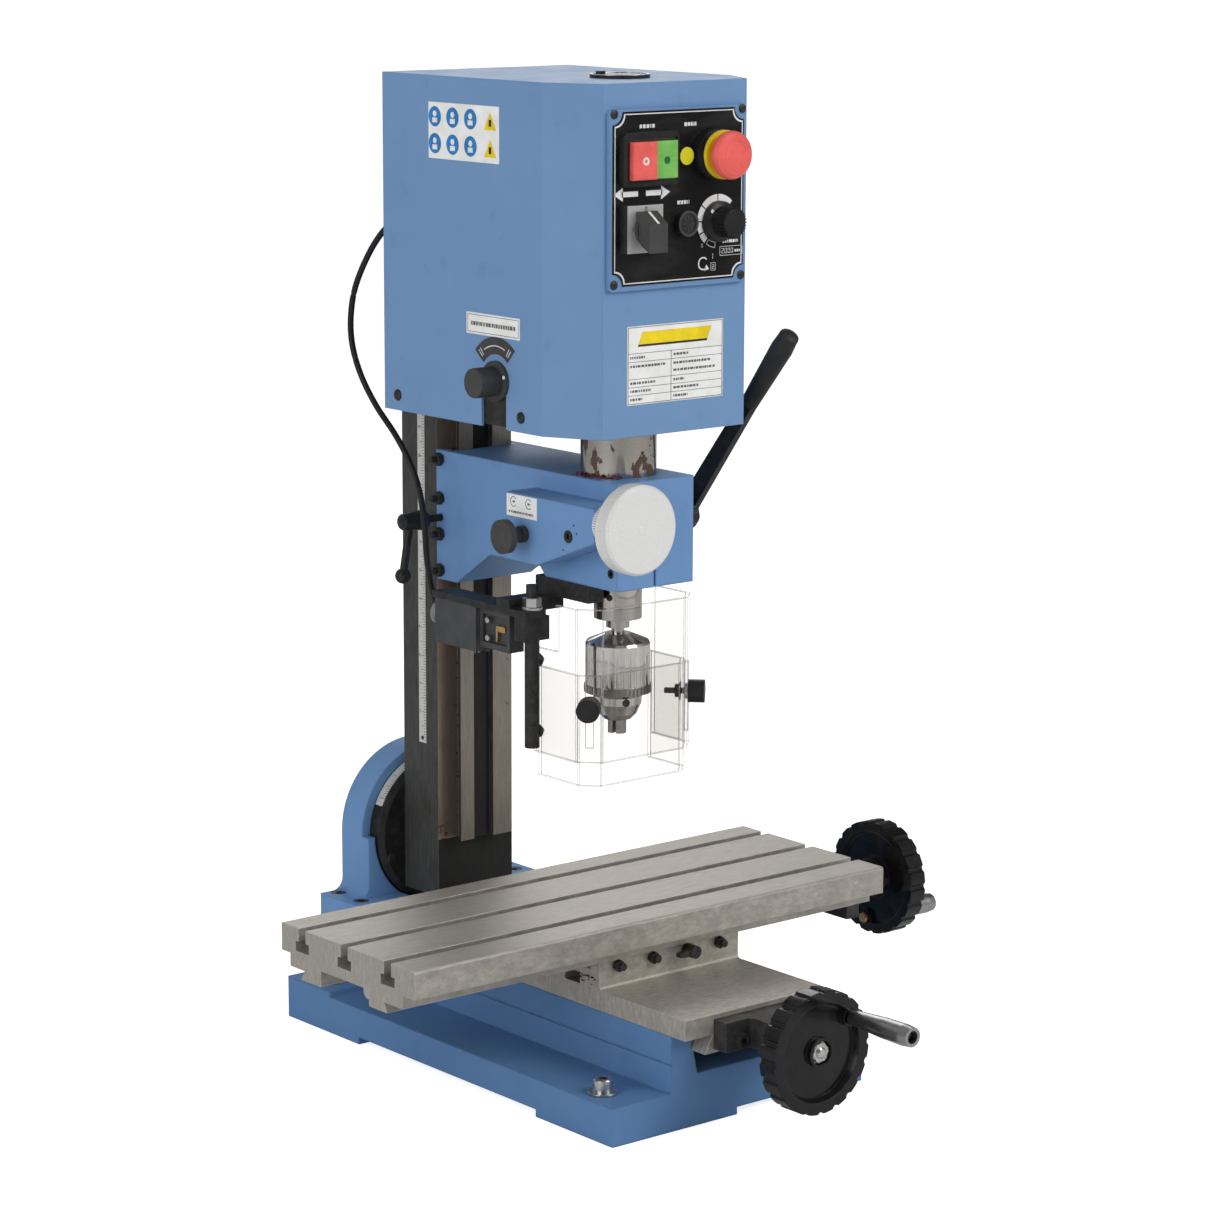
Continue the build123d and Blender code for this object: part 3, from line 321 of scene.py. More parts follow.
def steel(name, color, stretch=(1, 1, 1), rough=(0.22, 0.36), metal=1.0, radius=0.0005,
          stain=0.0, stain_color=(0.16, 0.08, 0.045), stain_above=None):
    """Turned or polished metal; the stain can be kept above a height."""
    mat = Mat(name, color, rough=0.3, metal=metal)
    if radius:
        mat.round_edges(radius)
    lines = mat.noise(260, detail=4, rough=0.7, stretch=stretch)
    mat.color = mat.mix(mat.band(lines, 0.35, 0.65), tone(color, 0.82), color)
    mat.rough = mat.band(mat.noise(130, detail=4, rough=0.7, stretch=stretch), 0.3, 0.7, out=rough)
    if stain:
        patches = mat.noise(38, detail=5, rough=0.62, stretch=(1, 1, 0.55), warp=1.2)
        mask = mat.times(mat.above(patches, 0.520), stain)
        if stain_above:
            mask = mat.times(mask, mat.above(mat.coord()[2], stain_above))
        mat.color = mat.mix(mask, mat.color, stain_color)
        mat.rough = mat.mix_number(mask, mat.rough, 0.55)
        mat.metal = mat.invert(mat.times(mask, 0.8))
    if radius:
        return mat.finish((lines, 0.05), (mat.noise(900), 0.02))
    return mat.finish((lines, 0.012))


iron_table = ground("ground_iron_table", (0.575, 0.540, 0.487), (0.375, 0.346, 0.308), spots=0.55)
iron_saddle = ground("ground_iron_saddle", (0.60, 0.562, 0.502), (0.40, 0.370, 0.330),
                     stretch=(1, 3, 1), rough=(0.40, 0.58), spots=0.55)
iron_gib = ground("ground_gib", (0.46, 0.43, 0.39), (0.30, 0.28, 0.25), stretch=(14, 0.6, 1))
scale_white = ground("engraved_scale", (0.74, 0.74, 0.71), (0.62, 0.62, 0.60), stretch=(1, 1, 8),
                     metal=0.15, rough=(0.35, 0.5), radius=0.0003, spots=0.1)

black_steel = black("black_oxide_steel")
black_bolt = black("black_bolt", (0.030, 0.029, 0.028), rust=0.3)
black_bracket = black("black_guard_bracket", (0.030, 0.030, 0.031), rough=(0.42, 0.62),
                      radius=0.0009)
black_cast = black("black_cast_iron", (0.035, 0.034, 0.033), rough=(0.45, 0.65), metal=0.2,
                   radius=0.001, rust=0.35)

turned_y = steel("turned_steel_y", (0.60, 0.59, 0.57), stretch=(8, 0.5, 8))
turned_x = steel("turned_steel_x", (0.60, 0.59, 0.57), stretch=(0.5, 8, 8))
turned_z = steel("turned_steel_z", (0.58, 0.565, 0.545), stretch=(1, 1, 14), rough=(0.14, 0.26))
screw_steel = steel("bright_fastener", (0.66, 0.65, 0.63), rough=(0.2, 0.34))
chrome = steel("chrome_plate", (0.44, 0.44, 0.44), rough=(0.28, 0.36))
quill_steel = steel("quill_chrome", (0.60, 0.56, 0.51), stretch=(1, 1, 10), rough=(0.08, 0.18),
                    stain=0.9, stain_color=(0.10, 0.040, 0.022), stain_above=0.400)
chuck_steel = steel("chuck_ground_steel", (0.86, 0.85, 0.835), stretch=(1, 1, 0.1),
                    rough=(0.12, 0.20), radius=0)
jaw_steel = steel("jaw_steel", (0.50, 0.49, 0.475), stretch=(1, 1, 6), rough=(0.25, 0.4))
dial_steel = steel("satin_dial", (0.96, 0.96, 0.945), stretch=(6, 6, 6), rough=(0.40, 0.52),
                   metal=0.25)
gear_steel = steel("gear_steel", (0.45, 0.44, 0.42), stretch=(1, 1, 9), rough=(0.3, 0.45),
                   stain=0.4)
plate_steel = steel("gearbox_plate", (0.48, 0.47, 0.45), stretch=(5, 1, 1), rough=(0.35, 0.5))
bronze = steel("bronze", (0.62, 0.42, 0.20), stretch=(1, 8, 8), rough=(0.25, 0.4))
brass = steel("brass_contact", (0.70, 0.50, 0.22), rough=(0.25, 0.4))


def column_material():
    """Dark painted column whose front ways are bare, with chalk marks in the front recess."""
    mat = Mat("column_iron", (0.05, 0.052, 0.05), rough=0.45)
    edge = mat.edge(0.0008)
    x, y, z = mat.coord()
    front = mat.below(mat.coord("Normal")[1], -0.6)
    tall = mat.above(z, 0.1312)
    recess = mat.times(*mat.between(x, -0.01072, 0.00602), *mat.between(y, 0.1440, 0.1500))
    ledge = mat.above(y, 0.1540)
    ways = mat.times(front, tall, mat.invert(recess))
    streak = mat.noise(170, detail=5, rough=0.75, stretch=(9, 9, 0.35))
    dirt = mat.band(mat.noise(26, detail=5, rough=0.65), 0.52, 0.7)
    painted = mat.mix(mat.band(streak, 0.35, 0.7), (0.034, 0.036, 0.034), (0.105, 0.107, 0.100))
    painted = mat.mix(mat.times(dirt, 0.6), painted, (0.030, 0.026, 0.022))
    bare = mat.mix(mat.band(streak, 0.3, 0.7), (0.21, 0.186, 0.162), (0.38, 0.345, 0.30))
    brown = mat.mix(mat.band(streak, 0.3, 0.7), (0.30, 0.225, 0.175), (0.46, 0.36, 0.29))
    bare = mat.mix(ledge, bare, brown)
    spots = mat.above(mat.noise(90, detail=5, rough=0.7), 0.66)
    bare = mat.mix(mat.times(spots, 0.7), bare, (0.07, 0.045, 0.035))
    color = mat.mix(ways, painted, bare)
    dark_front = mat.times(front, mat.invert(ways))
    color = mat.mix(mat.times(dark_front, 0.8), color, (0.018, 0.017, 0.017))
    color = mat.mix(mat.times(mat.band(edge, 0.3, 0.9), 0.4), color, (0.30, 0.28, 0.25))
    grain = mat.above(mat.noise(210, detail=3, rough=0.6, stretch=(1, 1, 0.5)), 0.53)
    chalk = mat.times(recess, *mat.between(z, 0.262, 0.300), grain)
    mat.color = mat.mix(mat.times(chalk, 0.55), color, (0.42, 0.41, 0.39))
    mat.specular(0.3)
    mat.metal = mat.mix_number(ways, 0.25, 0.7)
    mat.rough = mat.mix_number(ways, mat.band(streak, 0.3, 0.7, out=(0.42, 0.6)),
                               mat.band(streak, 0.3, 0.7, out=(0.30, 0.45)))
    return mat.finish((streak, 0.16), (mat.noise(420, detail=4), 0.10))


# ------------------------------------------------------------------ plastics, prints, clear sheet
def plastic(name, color, rough, bump=0.06, scuff=0.10):
    mat = Mat(name, color, rough=0.35)
    edge = mat.edge(0.0005)
    cloud = mat.band(mat.noise(80, detail=4, rough=0.6), 0.35, 0.7)
    scuffs = mat.band(mat.noise(600, detail=4, rough=0.7), 0.62, 0.8)
    shade = mat.mix(cloud, color, tone(color, 1.25, add=0.004))
    shade = mat.mix(mat.times(scuffs, scuff), shade, tone(color, 1, add=0.16))
    mat.color = mat.mix(mat.times(mat.band(edge, 0.4, 1.0), 0.22), shade,
                        tone(color, 1.4, add=0.05))
    mat.rough = mat.band(mat.noise(50, detail=4, rough=0.6), 0.3, 0.7, out=rough)
    mat.specular(0.28)
    return mat.finish((mat.noise(1500, detail=2), bump))


def printed(name, color, rough):
    """Smooth, barely scuffed ink, label stock or glossy button plastic."""
    return plastic(name, color, rough, bump=0.02, scuff=0.02)


black_plastic = plastic("black_plastic", (0.014, 0.014, 0.015), rough=(0.30, 0.46))
grip_plastic = plastic("grip_rubber", (0.020, 0.020, 0.021), rough=(0.45, 0.6), bump=0.12)
dark_knob = plastic("dark_grey_knob", (0.055, 0.055, 0.055), rough=(0.42, 0.55), bump=0.14)
red_plastic = plastic("red_plastic", (0.82, 0.125, 0.108), rough=(0.24, 0.36), bump=0.02,
                      scuff=0.05)
green_plastic = plastic("green_plastic", (0.185, 0.50, 0.11), rough=(0.24, 0.36), bump=0.02,
                        scuff=0.05)
green_dark = plastic("green_dark", (0.01, 0.16, 0.05), rough=(0.2, 0.3), bump=0.0)
grey_plastic = plastic("switch_grey", (0.060, 0.061, 0.064), rough=(0.42, 0.58), bump=0.12)
grommet_grey = plastic("grommet_grey", (0.20, 0.20, 0.20), rough=(0.3, 0.4), bump=0.04)
cable_black = plastic("cable_pvc", (0.012, 0.012, 0.013), rough=(0.28, 0.4), bump=0.08)
motor_black = plastic("motor_paint", (0.025, 0.025, 0.027), rough=(0.35, 0.5), bump=0.1)
white_label = plastic("white_label", (0.88, 0.89, 0.85), rough=(0.36, 0.5), bump=0.02, scuff=0.03)
white_print = printed("white_print", (0.84, 0.84, 0.82), rough=(0.4, 0.55))
grey_print = printed("grey_print", (0.12, 0.12, 0.125), rough=(0.5, 0.6))
dark_print = printed("dark_print", (0.03, 0.03, 0.035), rough=(0.45, 0.6))
blue_print = printed("blue_print", (0.02, 0.20, 0.52), rough=(0.4, 0.5))
yellow_print = printed("yellow_print", (0.86, 0.62, 0.01), rough=(0.4, 0.5))


def panel_face_material():
    mat = Mat("panel_face", (0.016, 0.016, 0.017), rough=0.4)
    mat.round_edges(0.0004)
    smear = mat.noise(16, detail=6, rough=0.7, stretch=(1, 1, 2.5), warp=0.6)
    mat.color = mat.mix(mat.band(smear, 0.45, 0.75), (0.008, 0.008, 0.009), (0.030, 0.030, 0.031))
    mat.rough = mat.band(smear, 0.35, 0.7, out=(0.30, 0.46))
    mat.specular(0.16)
    return mat.finish((mat.noise(1300, detail=2), 0.08))


def acrylic():
    """See-through sheet with a faint sheen and greyer edges, painted edge shade that draws its
    outline.
    """
    mat = Mat("clear_acrylic", (0.97, 0.985, 0.985), rough=0.05)
    edge = mat.edge(0.0013, samples=6)
    smear = mat.noise(26, detail=6, rough=0.7, stretch=(1, 1, 0.5))
    mat.rough = mat.band(smear, 0.5, 0.8, out=(0.02, 0.10))
    mat.color = mat.mix(mat.band(smear, 0.5, 0.8), (0.76, 0.755, 0.75), (0.84, 0.835, 0.83))
    mat.specular(0.6)
    mat.finish((mat.noise(40, detail=2), 0.008))
    clear = mat.node("ShaderNodeBsdfTransparent")
    mat.put(clear.inputs[0], (0.962, 0.957, 0.950))
    fresnel = mat.node("ShaderNodeFresnel")
    mat.put(fresnel.inputs[0], 1.30)
    # The edge mask paints shade along the sheet's edges; the fresnel term adds the sheen.
    seen = mat.math("ADD", mat.times(edge, 0.42), mat.times(fresnel.outputs[0], 0.16))
    seen = mat.math("ADD", seen, mat.times(mat.band(smear, 0.55, 0.8), 0.03), clamp=True)
    shadow = mat.node("ShaderNodeLightPath").outputs["Is Shadow Ray"]
    mat.output_mix(mat.times(seen, mat.invert(shadow)), clear, mat.shader)
    return mat.material


def glint_material():
    """Broken pale lines along the edges of the clear sheets; they cast no shadow."""
    mat = Mat("edge_glint", (0.42, 0.41, 0.40), rough=0.2)
    mat.color = mat.mix(mat.noise(60, detail=4), (0.34, 0.33, 0.325), (0.56, 0.55, 0.545))
    mat.rough = mat.band(mat.noise(90), 0.3, 0.7, out=(0.15, 0.35))
    mat.finish((mat.noise(300), 0.05))
    gaps = mat.band(mat.noise(22, detail=2), 0.35, 0.65, out=(0.38, 0.62))
    shadow = mat.node("ShaderNodeLightPath").outputs["Is Shadow Ray"]
    mat.output_mix(mat.math("MAXIMUM", gaps, shadow), mat.shader,
                   mat.node("ShaderNodeBsdfTransparent"))
    return mat.material


def grease_material():
    mat = Mat("red_grease", (0.20, 0.012, 0.010), rough=0.18)
    mat.color = mat.mix(mat.band(mat.noise(120, detail=4), 0.4, 0.65),
                        (0.26, 0.014, 0.010), (0.09, 0.008, 0.007))
    mat.rough = mat.band(mat.noise(80), 0.3, 0.7, out=(0.12, 0.3))
    mat.put(mat.shader.inputs["Coat Weight"], 0.6)
    return mat.finish((mat.noise(260, detail=4), 0.5))


# ------------------------------------------------------------------ materials split by place
def wheel_material(name, axis, comparison, split):
    """Black wheel whose graduated collar beyond the split plane is bright metal."""
    mat = Mat(name, (0.013, 0.013, 0.014), rough=0.3)
    edge = mat.edge(0.0008)
    collar = mat.math(comparison, mat.coord()[axis], split)
    cloud = mat.noise(90, detail=4, rough=0.6)
    specks = mat.above(mat.noise(220, detail=5, rough=0.7), 0.66)
    rim = mat.mix(mat.band(cloud, 0.35, 0.7), (0.005, 0.005, 0.005), (0.013, 0.012, 0.012))
    rim = mat.mix(mat.times(mat.band(edge, 0.4, 1.0), 0.25), rim, (0.05, 0.05, 0.05))
    rim = mat.mix(mat.times(specks, 0.25), rim, (0.09, 0.088, 0.08))
    mat.specular(0.34)
    mat.color = mat.mix(collar, rim, (0.60, 0.60, 0.58))
    mat.metal = collar
    mat.rough = mat.mix_number(collar, mat.band(cloud, 0.3, 0.7, out=(0.12, 0.26)), 0.25)
    return mat.finish((mat.noise(700, detail=3), 0.04))


def rod_material():
    """Black rod whose washer and nut above the bracket are bright."""
    mat = Mat("guard_rod_material", (0.02, 0.02, 0.021), rough=0.4, metal=0.35)
    mat.round_edges(0.0005)
    nut = mat.times(*mat.between(mat.coord()[2], 0.3185, 0.32655))
    cloud = mat.noise(120, detail=5, rough=0.7)
    dark = mat.mix(mat.band(cloud, 0.4, 0.7), (0.018, 0.018, 0.019), (0.045, 0.044, 0.043))
    mat.color = mat.mix(nut, dark, (0.66, 0.65, 0.63))
    mat.metal = mat.mix_number(nut, 0.3, 1.0)
    mat.rough = mat.mix_number(nut, mat.band(cloud, 0.3, 0.7, out=(0.34, 0.5)), 0.28)
    return mat.finish((mat.noise(500, detail=3), 0.08))


def fittings_material():
    """Black fittings with a silver switch plate, a yellow stop-button ring and a lamp lens."""
    mat = Mat("panel_fittings_material", (0.014, 0.014, 0.015), rough=0.35)
    mat.round_edges(0.0004)
    x, y, z = mat.coord()
    cloud = mat.noise(80, detail=4, rough=0.6)
    plate = mat.times(mat.below(x, -0.0190), mat.below(z, 0.590), mat.below(y, -0.0667))
    ring = mat.times(mat.above(x, 0.0095), mat.above(z, 0.600), mat.below(y, -0.0703),
                     mat.above(y, -0.0737))
    across = mat.math("SUBTRACT", x, 0.0022)
    upward = mat.math("SUBTRACT", z, 0.6170)
    radius_squared = mat.math("ADD", mat.times(across, across), mat.times(upward, upward))
    lens = mat.times(mat.below(radius_squared, 0.0056 ** 2), mat.below(y, -0.0625))
    brushed = mat.mix(mat.noise(400, detail=3, rough=0.6, stretch=(1, 1, 12)),
                      (0.66, 0.66, 0.65), (0.52, 0.52, 0.51))
    color = mat.mix(mat.band(cloud, 0.35, 0.7), (0.013, 0.013, 0.014), (0.030, 0.030, 0.031))
    color = mat.mix(plate, color, brushed)
    color = mat.mix(ring, color, (0.87, 0.64, 0.02))
    mat.color = mat.mix(lens, color, (0.74, 0.70, 0.03))
    mat.metal = mat.times(plate, 0.6)
    mat.rough = mat.mix_number(lens, mat.band(cloud, 0.3, 0.7, out=(0.28, 0.42)), 0.1)
    return mat.finish((mat.noise(1400, detail=2), 0.05))


clear_acrylic = acrylic()

# CAD piece: its material
PIECE_MATERIALS = {
    "base_casting": blue_base, "column_bracket": blue_bracket, "base_screws": black_bolt,
    "y_nut": bronze, "y_gib": iron_gib, "saddle": iron_saddle, "x_gib": iron_gib,
    "saddle_screws": black_bolt, "x_nut": bronze, "screw_bracket": black_cast,
    "saddle_lock_lever": black_bolt, "y_leadscrew": turned_y,
    "y_handwheel": wheel_material("y_handwheel_material", 1, "GREATER_THAN", -0.1899),
    "y_handle": chrome, "table": iron_table, "x_end_plate": black_cast,
    "end_plate_screws": black_bolt, "x_leadscrew": turned_x,
    "x_handwheel": wheel_material("x_handwheel_material", 0, "LESS_THAN", 0.2255),
    "x_handle": chrome, "column": column_material(), "tilt_disc": black_steel,
    "tilt_nut": screw_steel, "head_casting": blue_head, "z_gib": iron_gib,
    "casting_screws": black_bolt, "guard_bracket": black_bracket, "switch_box": grey_plastic,
    "clamp_lever": black_steel, "feed_shaft": turned_x, "feed_lever": black_steel,
    "lever_grip": grip_plastic, "clutch_knob": dark_knob, "fine_feed_dial": dial_steel,
    "worm_wheel": bronze, "quill": quill_steel, "head_cover": blue_sheet,
    "gearbox_plates": plate_steel, "motor": motor_black, "control_panel": blue_panel,
    "panel_fittings": fittings_material(), "spindle": turned_z, "drawbar": turned_z,
    "spindle_gear": gear_steel, "chuck_arbor": turned_z, "chuck_body": chuck_steel,
    "chuck_jaws": jaw_steel, "idler_gear": gear_steel, "motor_pinion": gear_steel,
    "top_cap": black_steel, "range_knob": dark_knob, "direction_knob": dark_knob,
    "speed_knob": black_plastic, "emergency_stop": red_plastic, "red_button": red_plastic,
    "green_button": green_plastic, "guard_rod": rod_material(), "guard_upper": clear_acrylic,
    "guard_lower": clear_acrylic, "guard_knobs": black_plastic,
}
for piece, piece_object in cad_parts.items():
    piece_object.data.materials.clear()
    piece_object.data.materials.append(PIECE_MATERIALS[piece])


# ------------------------------------------------------------------ mesh helpers
# A plane is (origin, a axis, b axis, outward normal).
def left_plane(x):
    """Faces -X; a = -y, b = z."""
    return (x, 0, 0), (0, -1, 0), (0, 0, 1), (-1, 0, 0)


def front_plane(y):
    """Faces -Y; a = x, b = z."""
    return (0, y, 0), (1, 0, 0), (0, 0, 1), (0, -1, 0)


def rim_plane(axis, origin, turn, sign=1):
    """Plane on a drum round an axis: a runs round it, b along it, the normal points out."""
    first, second = cross_axes(axis)
    tangent, along, outward = [0, 0, 0], [0, 0, 0], [0, 0, 0]
    outward[first], outward[second] = math.cos(turn), math.sin(turn)
    tangent[first], tangent[second] = -math.sin(turn), math.cos(turn)
    along[axis] = sign
    return origin, tangent, along, outward


def cross_axes(axis):
    return [i for i in range(3) if i != axis]


def polar(cx, cy, radius, degrees):
    turn = math.radians(degrees)
    return cx + radius * math.cos(turn), cy + radius * math.sin(turn)


def circle(cx, cy, radius, segments):
    turns = [2 * math.pi * i / segments for i in range(segments)]
    return [(cx + radius * math.cos(t), cy + radius * math.sin(t)) for t in turns]


def rectangle(a0, a1, b0, b1):
    return [(a0, b0), (a1, b0), (a1, b1), (a0, b1)]


# seven-segment numerals: lit segments, and each segment's ends on a 1 x 2 grid
DIGITS = {"0": "abcdef", "1": "bc", "2": "abged", "3": "abgcd", "4": "fgbc",
          "5": "afgcd", "6": "afgedc", "7": "abc", "8": "abcdefg", "9": "abcdfg"}
SEGMENTS = {"a": ((0, 2), (1, 2)), "b": ((1, 2), (1, 1)), "c": ((1, 1), (1, 0)),
            "d": ((0, 0), (1, 0)), "e": ((0, 1), (0, 0)), "f": ((0, 2), (0, 1)),
            "g": ((0, 1), (1, 1))}


class Solid:
    """Collects small solids, in millimetres, into one mesh.

    Flat shapes are drawn on the current plane, between two depths along its normal.
    """

    def __init__(self, plane=None, near=0, far=0):
        self.verts, self.faces = [], []
        self.on(plane, near, far)

    def on(self, plane, near, far):
        self.plane, self.depths = plane, (near, far)

    def extrude(self, outline):
        origin, a_axis, b_axis, normal = (Vector(v) for v in self.plane)
        if a_axis.cross(b_axis).dot(normal) < 0:
            outline = list(reversed(outline))
        k, n = len(self.verts), len(outline)
        for depth in self.depths:
            self.verts += [tuple(origin + a_axis * a + b_axis * b + normal * depth)
                           for a, b in outline]
        self.faces.append(tuple(k + n + i for i in range(n)))
        self.faces.append(tuple(k + i for i in reversed(range(n))))
        self.faces += [(k + i, k + (i + 1) % n, k + n + (i + 1) % n, k + n + i)
                       for i in range(n)]

    def bar(self, a0, a1, b0, b1):
        self.extrude(rectangle(a0, a1, b0, b1))

    def disc(self, cx, cy, radius, segments=32):
        self.extrude(circle(cx, cy, radius, segments))

    def stroke(self, start, end, width):
        start, end = Vector(start), Vector(end)
        cap = (end - start).normalized() * (width / 2)
        side = Vector((-cap.y, cap.x))
        corners = (start - cap - side, end + cap - side, end + cap + side, start - cap + side)
        self.extrude([tuple(c) for c in corners])

    def box_outline(self, a0, a1, rows, width):
        """Four strokes round a rectangle; rows gives its b values in drawing order."""
        for b in rows:
            self.stroke((a0, b), (a1, b), width)
        for a in (a0, a1):
            self.stroke((a, min(rows)), (a, max(rows)), width)

    def arc(self, cx, cy, inner, outer, start, end, segments=24):
        """Ring sector; start and end in degrees."""
        start, end = math.radians(start), math.radians(end)
        for i in range(segments):
            t0 = start + (end - start) * i / segments
            t1 = start + (end - start) * (i + 1) / segments
            corners = ((inner, t0), (outer, t0), (outer, t1), (inner, t1))
            self.extrude([(cx + r * math.cos(t), cy + r * math.sin(t)) for r, t in corners])

    def border(self, outer, inner):
        """Band between two outlines of equal point count."""
        for i in range(len(outer)):
            j = (i + 1) % len(outer)
            self.extrude([outer[i], outer[j], inner[j], inner[i]])

    def around(self, outline, axis, origin, count, inner, outer, start=0):
        """Repeat an outline round an axis, solid from radius inner to outer."""
        for i in range(count):
            turn = 2 * math.pi * i / count + start
            self.on(rim_plane(axis, origin, turn), inner, outer)
            self.extrude(outline)

    def text_rows(self, rows, height, seed):
        """Short strokes that stand in for lettering; rows are (b, a start, a end)."""
        draw = random.Random(seed)
        for b, a, end in rows:
            while a < end:
                width = draw.uniform(0.8, 2.6)
                self.bar(a, min(a + width, end), b - height / 2, b + height / 2)
                a += width + draw.uniform(0.45, 0.9)

    def digits(self, text, a, b, size, width):
        for char in text:
            for name in DIGITS[char]:
                ends = [(a + p * size, b + q * size) for p, q in SEGMENTS[name]]
                self.stroke(*ends, width)
            a += size * 1.75

    def lathe(self, profile, centre, axis, segments=48):
        """Turn a closed (radius, along) profile round an axis (0, 1, 2) through centre."""
        first, second = cross_axes(axis)
        k, n = len(self.verts), len(profile)
        for j in range(segments):
            turn = 2 * math.pi * j / segments
            for radius, along in profile:
                point = [0, 0, 0]
                point[axis] = along
                point[first] = centre[first] + radius * math.cos(turn)
                point[second] = centre[second] + radius * math.sin(turn)
                self.verts.append(tuple(point))
        for j in range(segments):
            here, there = k + j * n, k + ((j + 1) % segments) * n
            for i in range(n):
                a, b, a2, b2 = here + i, here + (i + 1) % n, there + i, there + (i + 1) % n
                self.faces.append((a, b, b2, a2) if axis != 1 else (a, a2, b2, b))

    def sweep(self, path, radius, segments, scale=None):
        """Tube along a path; scale gives the radius factor from 0 (start) to 1 (end)."""
        path = [Vector(p) for p in path]
        k, n = len(self.verts), len(path)
        up = Vector((0, 0, 1))
        turns = [2 * math.pi * j / segments for j in range(segments)]
        for i, p in enumerate(path):
            ahead = (path[min(i + 1, n - 1)] - path[max(i - 1, 0)]).normalized()
            side = ahead.cross(up if abs(ahead.dot(up)) < 0.95 else Vector((1, 0, 0))).normalized()
            other = ahead.cross(side).normalized()
            r = radius * (scale(i / (n - 1)) if scale else 1)
            self.verts += [tuple(p + (side * math.cos(t) + other * math.sin(t)) * r)
                           for t in turns]
        for i in range(n - 1):
            for j in range(segments):
                a, b = k + i * segments + j, k + i * segments + (j + 1) % segments
                self.faces.append((a, b, b + segments, a + segments))
        self.faces.append(tuple(k + j for j in reversed(range(segments))))
        self.faces.append(tuple(k + (n - 1) * segments + j for j in range(segments)))

    def done(self, name, material, body=None, slot=None, smooth=False, angle=35):
        """Make the object; body is what it rides on, angle (degrees) keeps edges sharp."""
        mesh = bpy.data.meshes.new(name)
        mesh.from_pydata([tuple(c * MM for c in v) for v in self.verts], [], self.faces)
        mesh.validate()
        mesh.update()
        made = bpy.data.objects.new(name, mesh)
        bpy.context.scene.collection.objects.link(made)
        mesh.materials.append(material)
        if smooth:
            for face in mesh.polygons:
                face.use_smooth = True
            mesh.set_sharp_from_angle(angle=math.radians(angle))
        if body:
            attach(made, body)
        return made


# (body, slot) pairs shared by many parts
PANEL = ("quill", "black_plastic")
COVER = ("quill", "cast_iron_blue")
HEAD_LABEL = ("head", "cast_iron_blue")


def turned(name, profile, centre, axis, segments, material, body, slot):
    """One smooth lathe part."""
    solid = Solid()
    solid.lathe(profile, centre, axis, segments)
    solid.done(name, material, body, slot, smooth=True)


def plate(name, bounds, plane, thickness, material, body, slot):
    """One flat rectangular plate; bounds are a0, a1, b0, b1."""
    solid = Solid(plane, 0, thickness)
    solid.bar(*bounds)
    solid.done(name, material, body, slot)


def socket_screw(name, seat, axis, radius, height, flats, material, body, slot):
    """Socket cap head with a hex recess, standing on its seat towards the + axis."""
    solid = Solid()
    first, second = cross_axes(axis)
    depth = height * 0.55
    segments = 48
    # (radius, height) rings; None is the hexagon
    rings = [(radius, 0), (radius, height - radius * 0.12), (radius * 0.9, height),
             (None, height), (None, height - depth), (0.01, height - depth * 1.15)]
    for j in range(segments):
        turn = 2 * math.pi * j / segments
        from_flat = (turn + math.pi / 6) % (math.pi / 3) - math.pi / 6
        hexagon = flats / 2 / math.cos(from_flat)
        for ring_radius, rise in rings:
            r = hexagon if ring_radius is None else ring_radius
            point = [0, 0, 0]
            point[axis] = seat[axis] + rise
            point[first] = seat[first] + r * math.cos(turn)
            point[second] = seat[second] + r * math.sin(turn)
            solid.verts.append(tuple(point))
    n = len(rings)
    for j in range(segments):
        for i in range(n - 1):
            a, b = j * n + i, ((j + 1) % segments) * n + i
            solid.faces.append((a, a + 1, b + 1, b))
    solid.done(name, material, body, slot, smooth=True, angle=30)


# ------------------------------------------------------------------ base and column
def bench_bolts():
    """Washer, cap head and shank at the four corners; the back seats are higher."""
    side_x, front, back = 92.3, (-98.2, 25.6), (203.7, 29.1)
    corners = [(side * side_x, y, seat) for side in (-1, 1) for y, seat in (front, back)]
    steel_on_base = (screw_steel, "base", "bright_steel")
    for i, (x, y, seat) in enumerate(corners):
        top, shank_top = seat + 1.8, seat + 1.9
        washer = [(4.3, seat), (10.2, seat), (10.4, seat + 0.3), (10.4, seat + 1.5),
                  (10.1, top), (4.3, top)]
        shank = [(0.01, 1.0), (4.15, 1.0), (4.15, shank_top), (0.01, shank_top)]
        turned(f"bench_washer_{i}", washer, (x, y, 0), 2, 48, *steel_on_base)
        socket_screw(f"bench_bolt_{i}", (x, y, top), 2, 6.5, 8.2, 6.0, *steel_on_base)
        turned(f"bench_bolt_shank_{i}", shank, (x, y, 0), 2, 24, *steel_on_base)


def tilt_scale():
    """Graduated strip on the upper rim of the swivel disc, and two disc screws."""
    centre_z, first_angle, step = 127.5, 28, 2
    strip = Solid()
    for i in range(64):
        k = len(strip.verts)
        for degrees in (first_angle + i * step, first_angle + (i + 1) * step):
            for radius in (53.55, 53.95):
                for y in (199.4, 207.2):
                    x, z = polar(0, centre_z, radius, degrees)
                    strip.verts.append((x, y, z))
        box = ((2, 3, 7, 6), (0, 4, 5, 1), (0, 2, 6, 4), (1, 5, 7, 3), (0, 1, 3, 2), (4, 6, 7, 5))
        strip.faces += [tuple(k + corner for corner in face) for face in box]
    strip.done("tilt_scale", scale_white, "column", "bright_steel", smooth=True)
    marks = Solid()
    for degrees in range(-60, 61, 2):
        length = 5.2 if degrees % 10 == 0 else 3.2
        marks.on(rim_plane(1, (0, 0, centre_z), math.radians(90 - degrees)), 53.9, 54.05)
        marks.bar(-0.16, 0.16, 199.5, 199.5 + length)
    marks.done("tilt_scale_marks", dark_print, "column", "black_steel")
    screws = Solid()
    for x in (-44.0, 44.0):
        screws.lathe([(0.01, 194.2), (2.6, 194.2), (3.4, 194.8), (3.4, 195.3), (0.01, 195.3)],
                     (x, 0, 112.0), 1, 24)
    screws.done("disc_screws", black_bolt, "column", "black_steel", smooth=True)


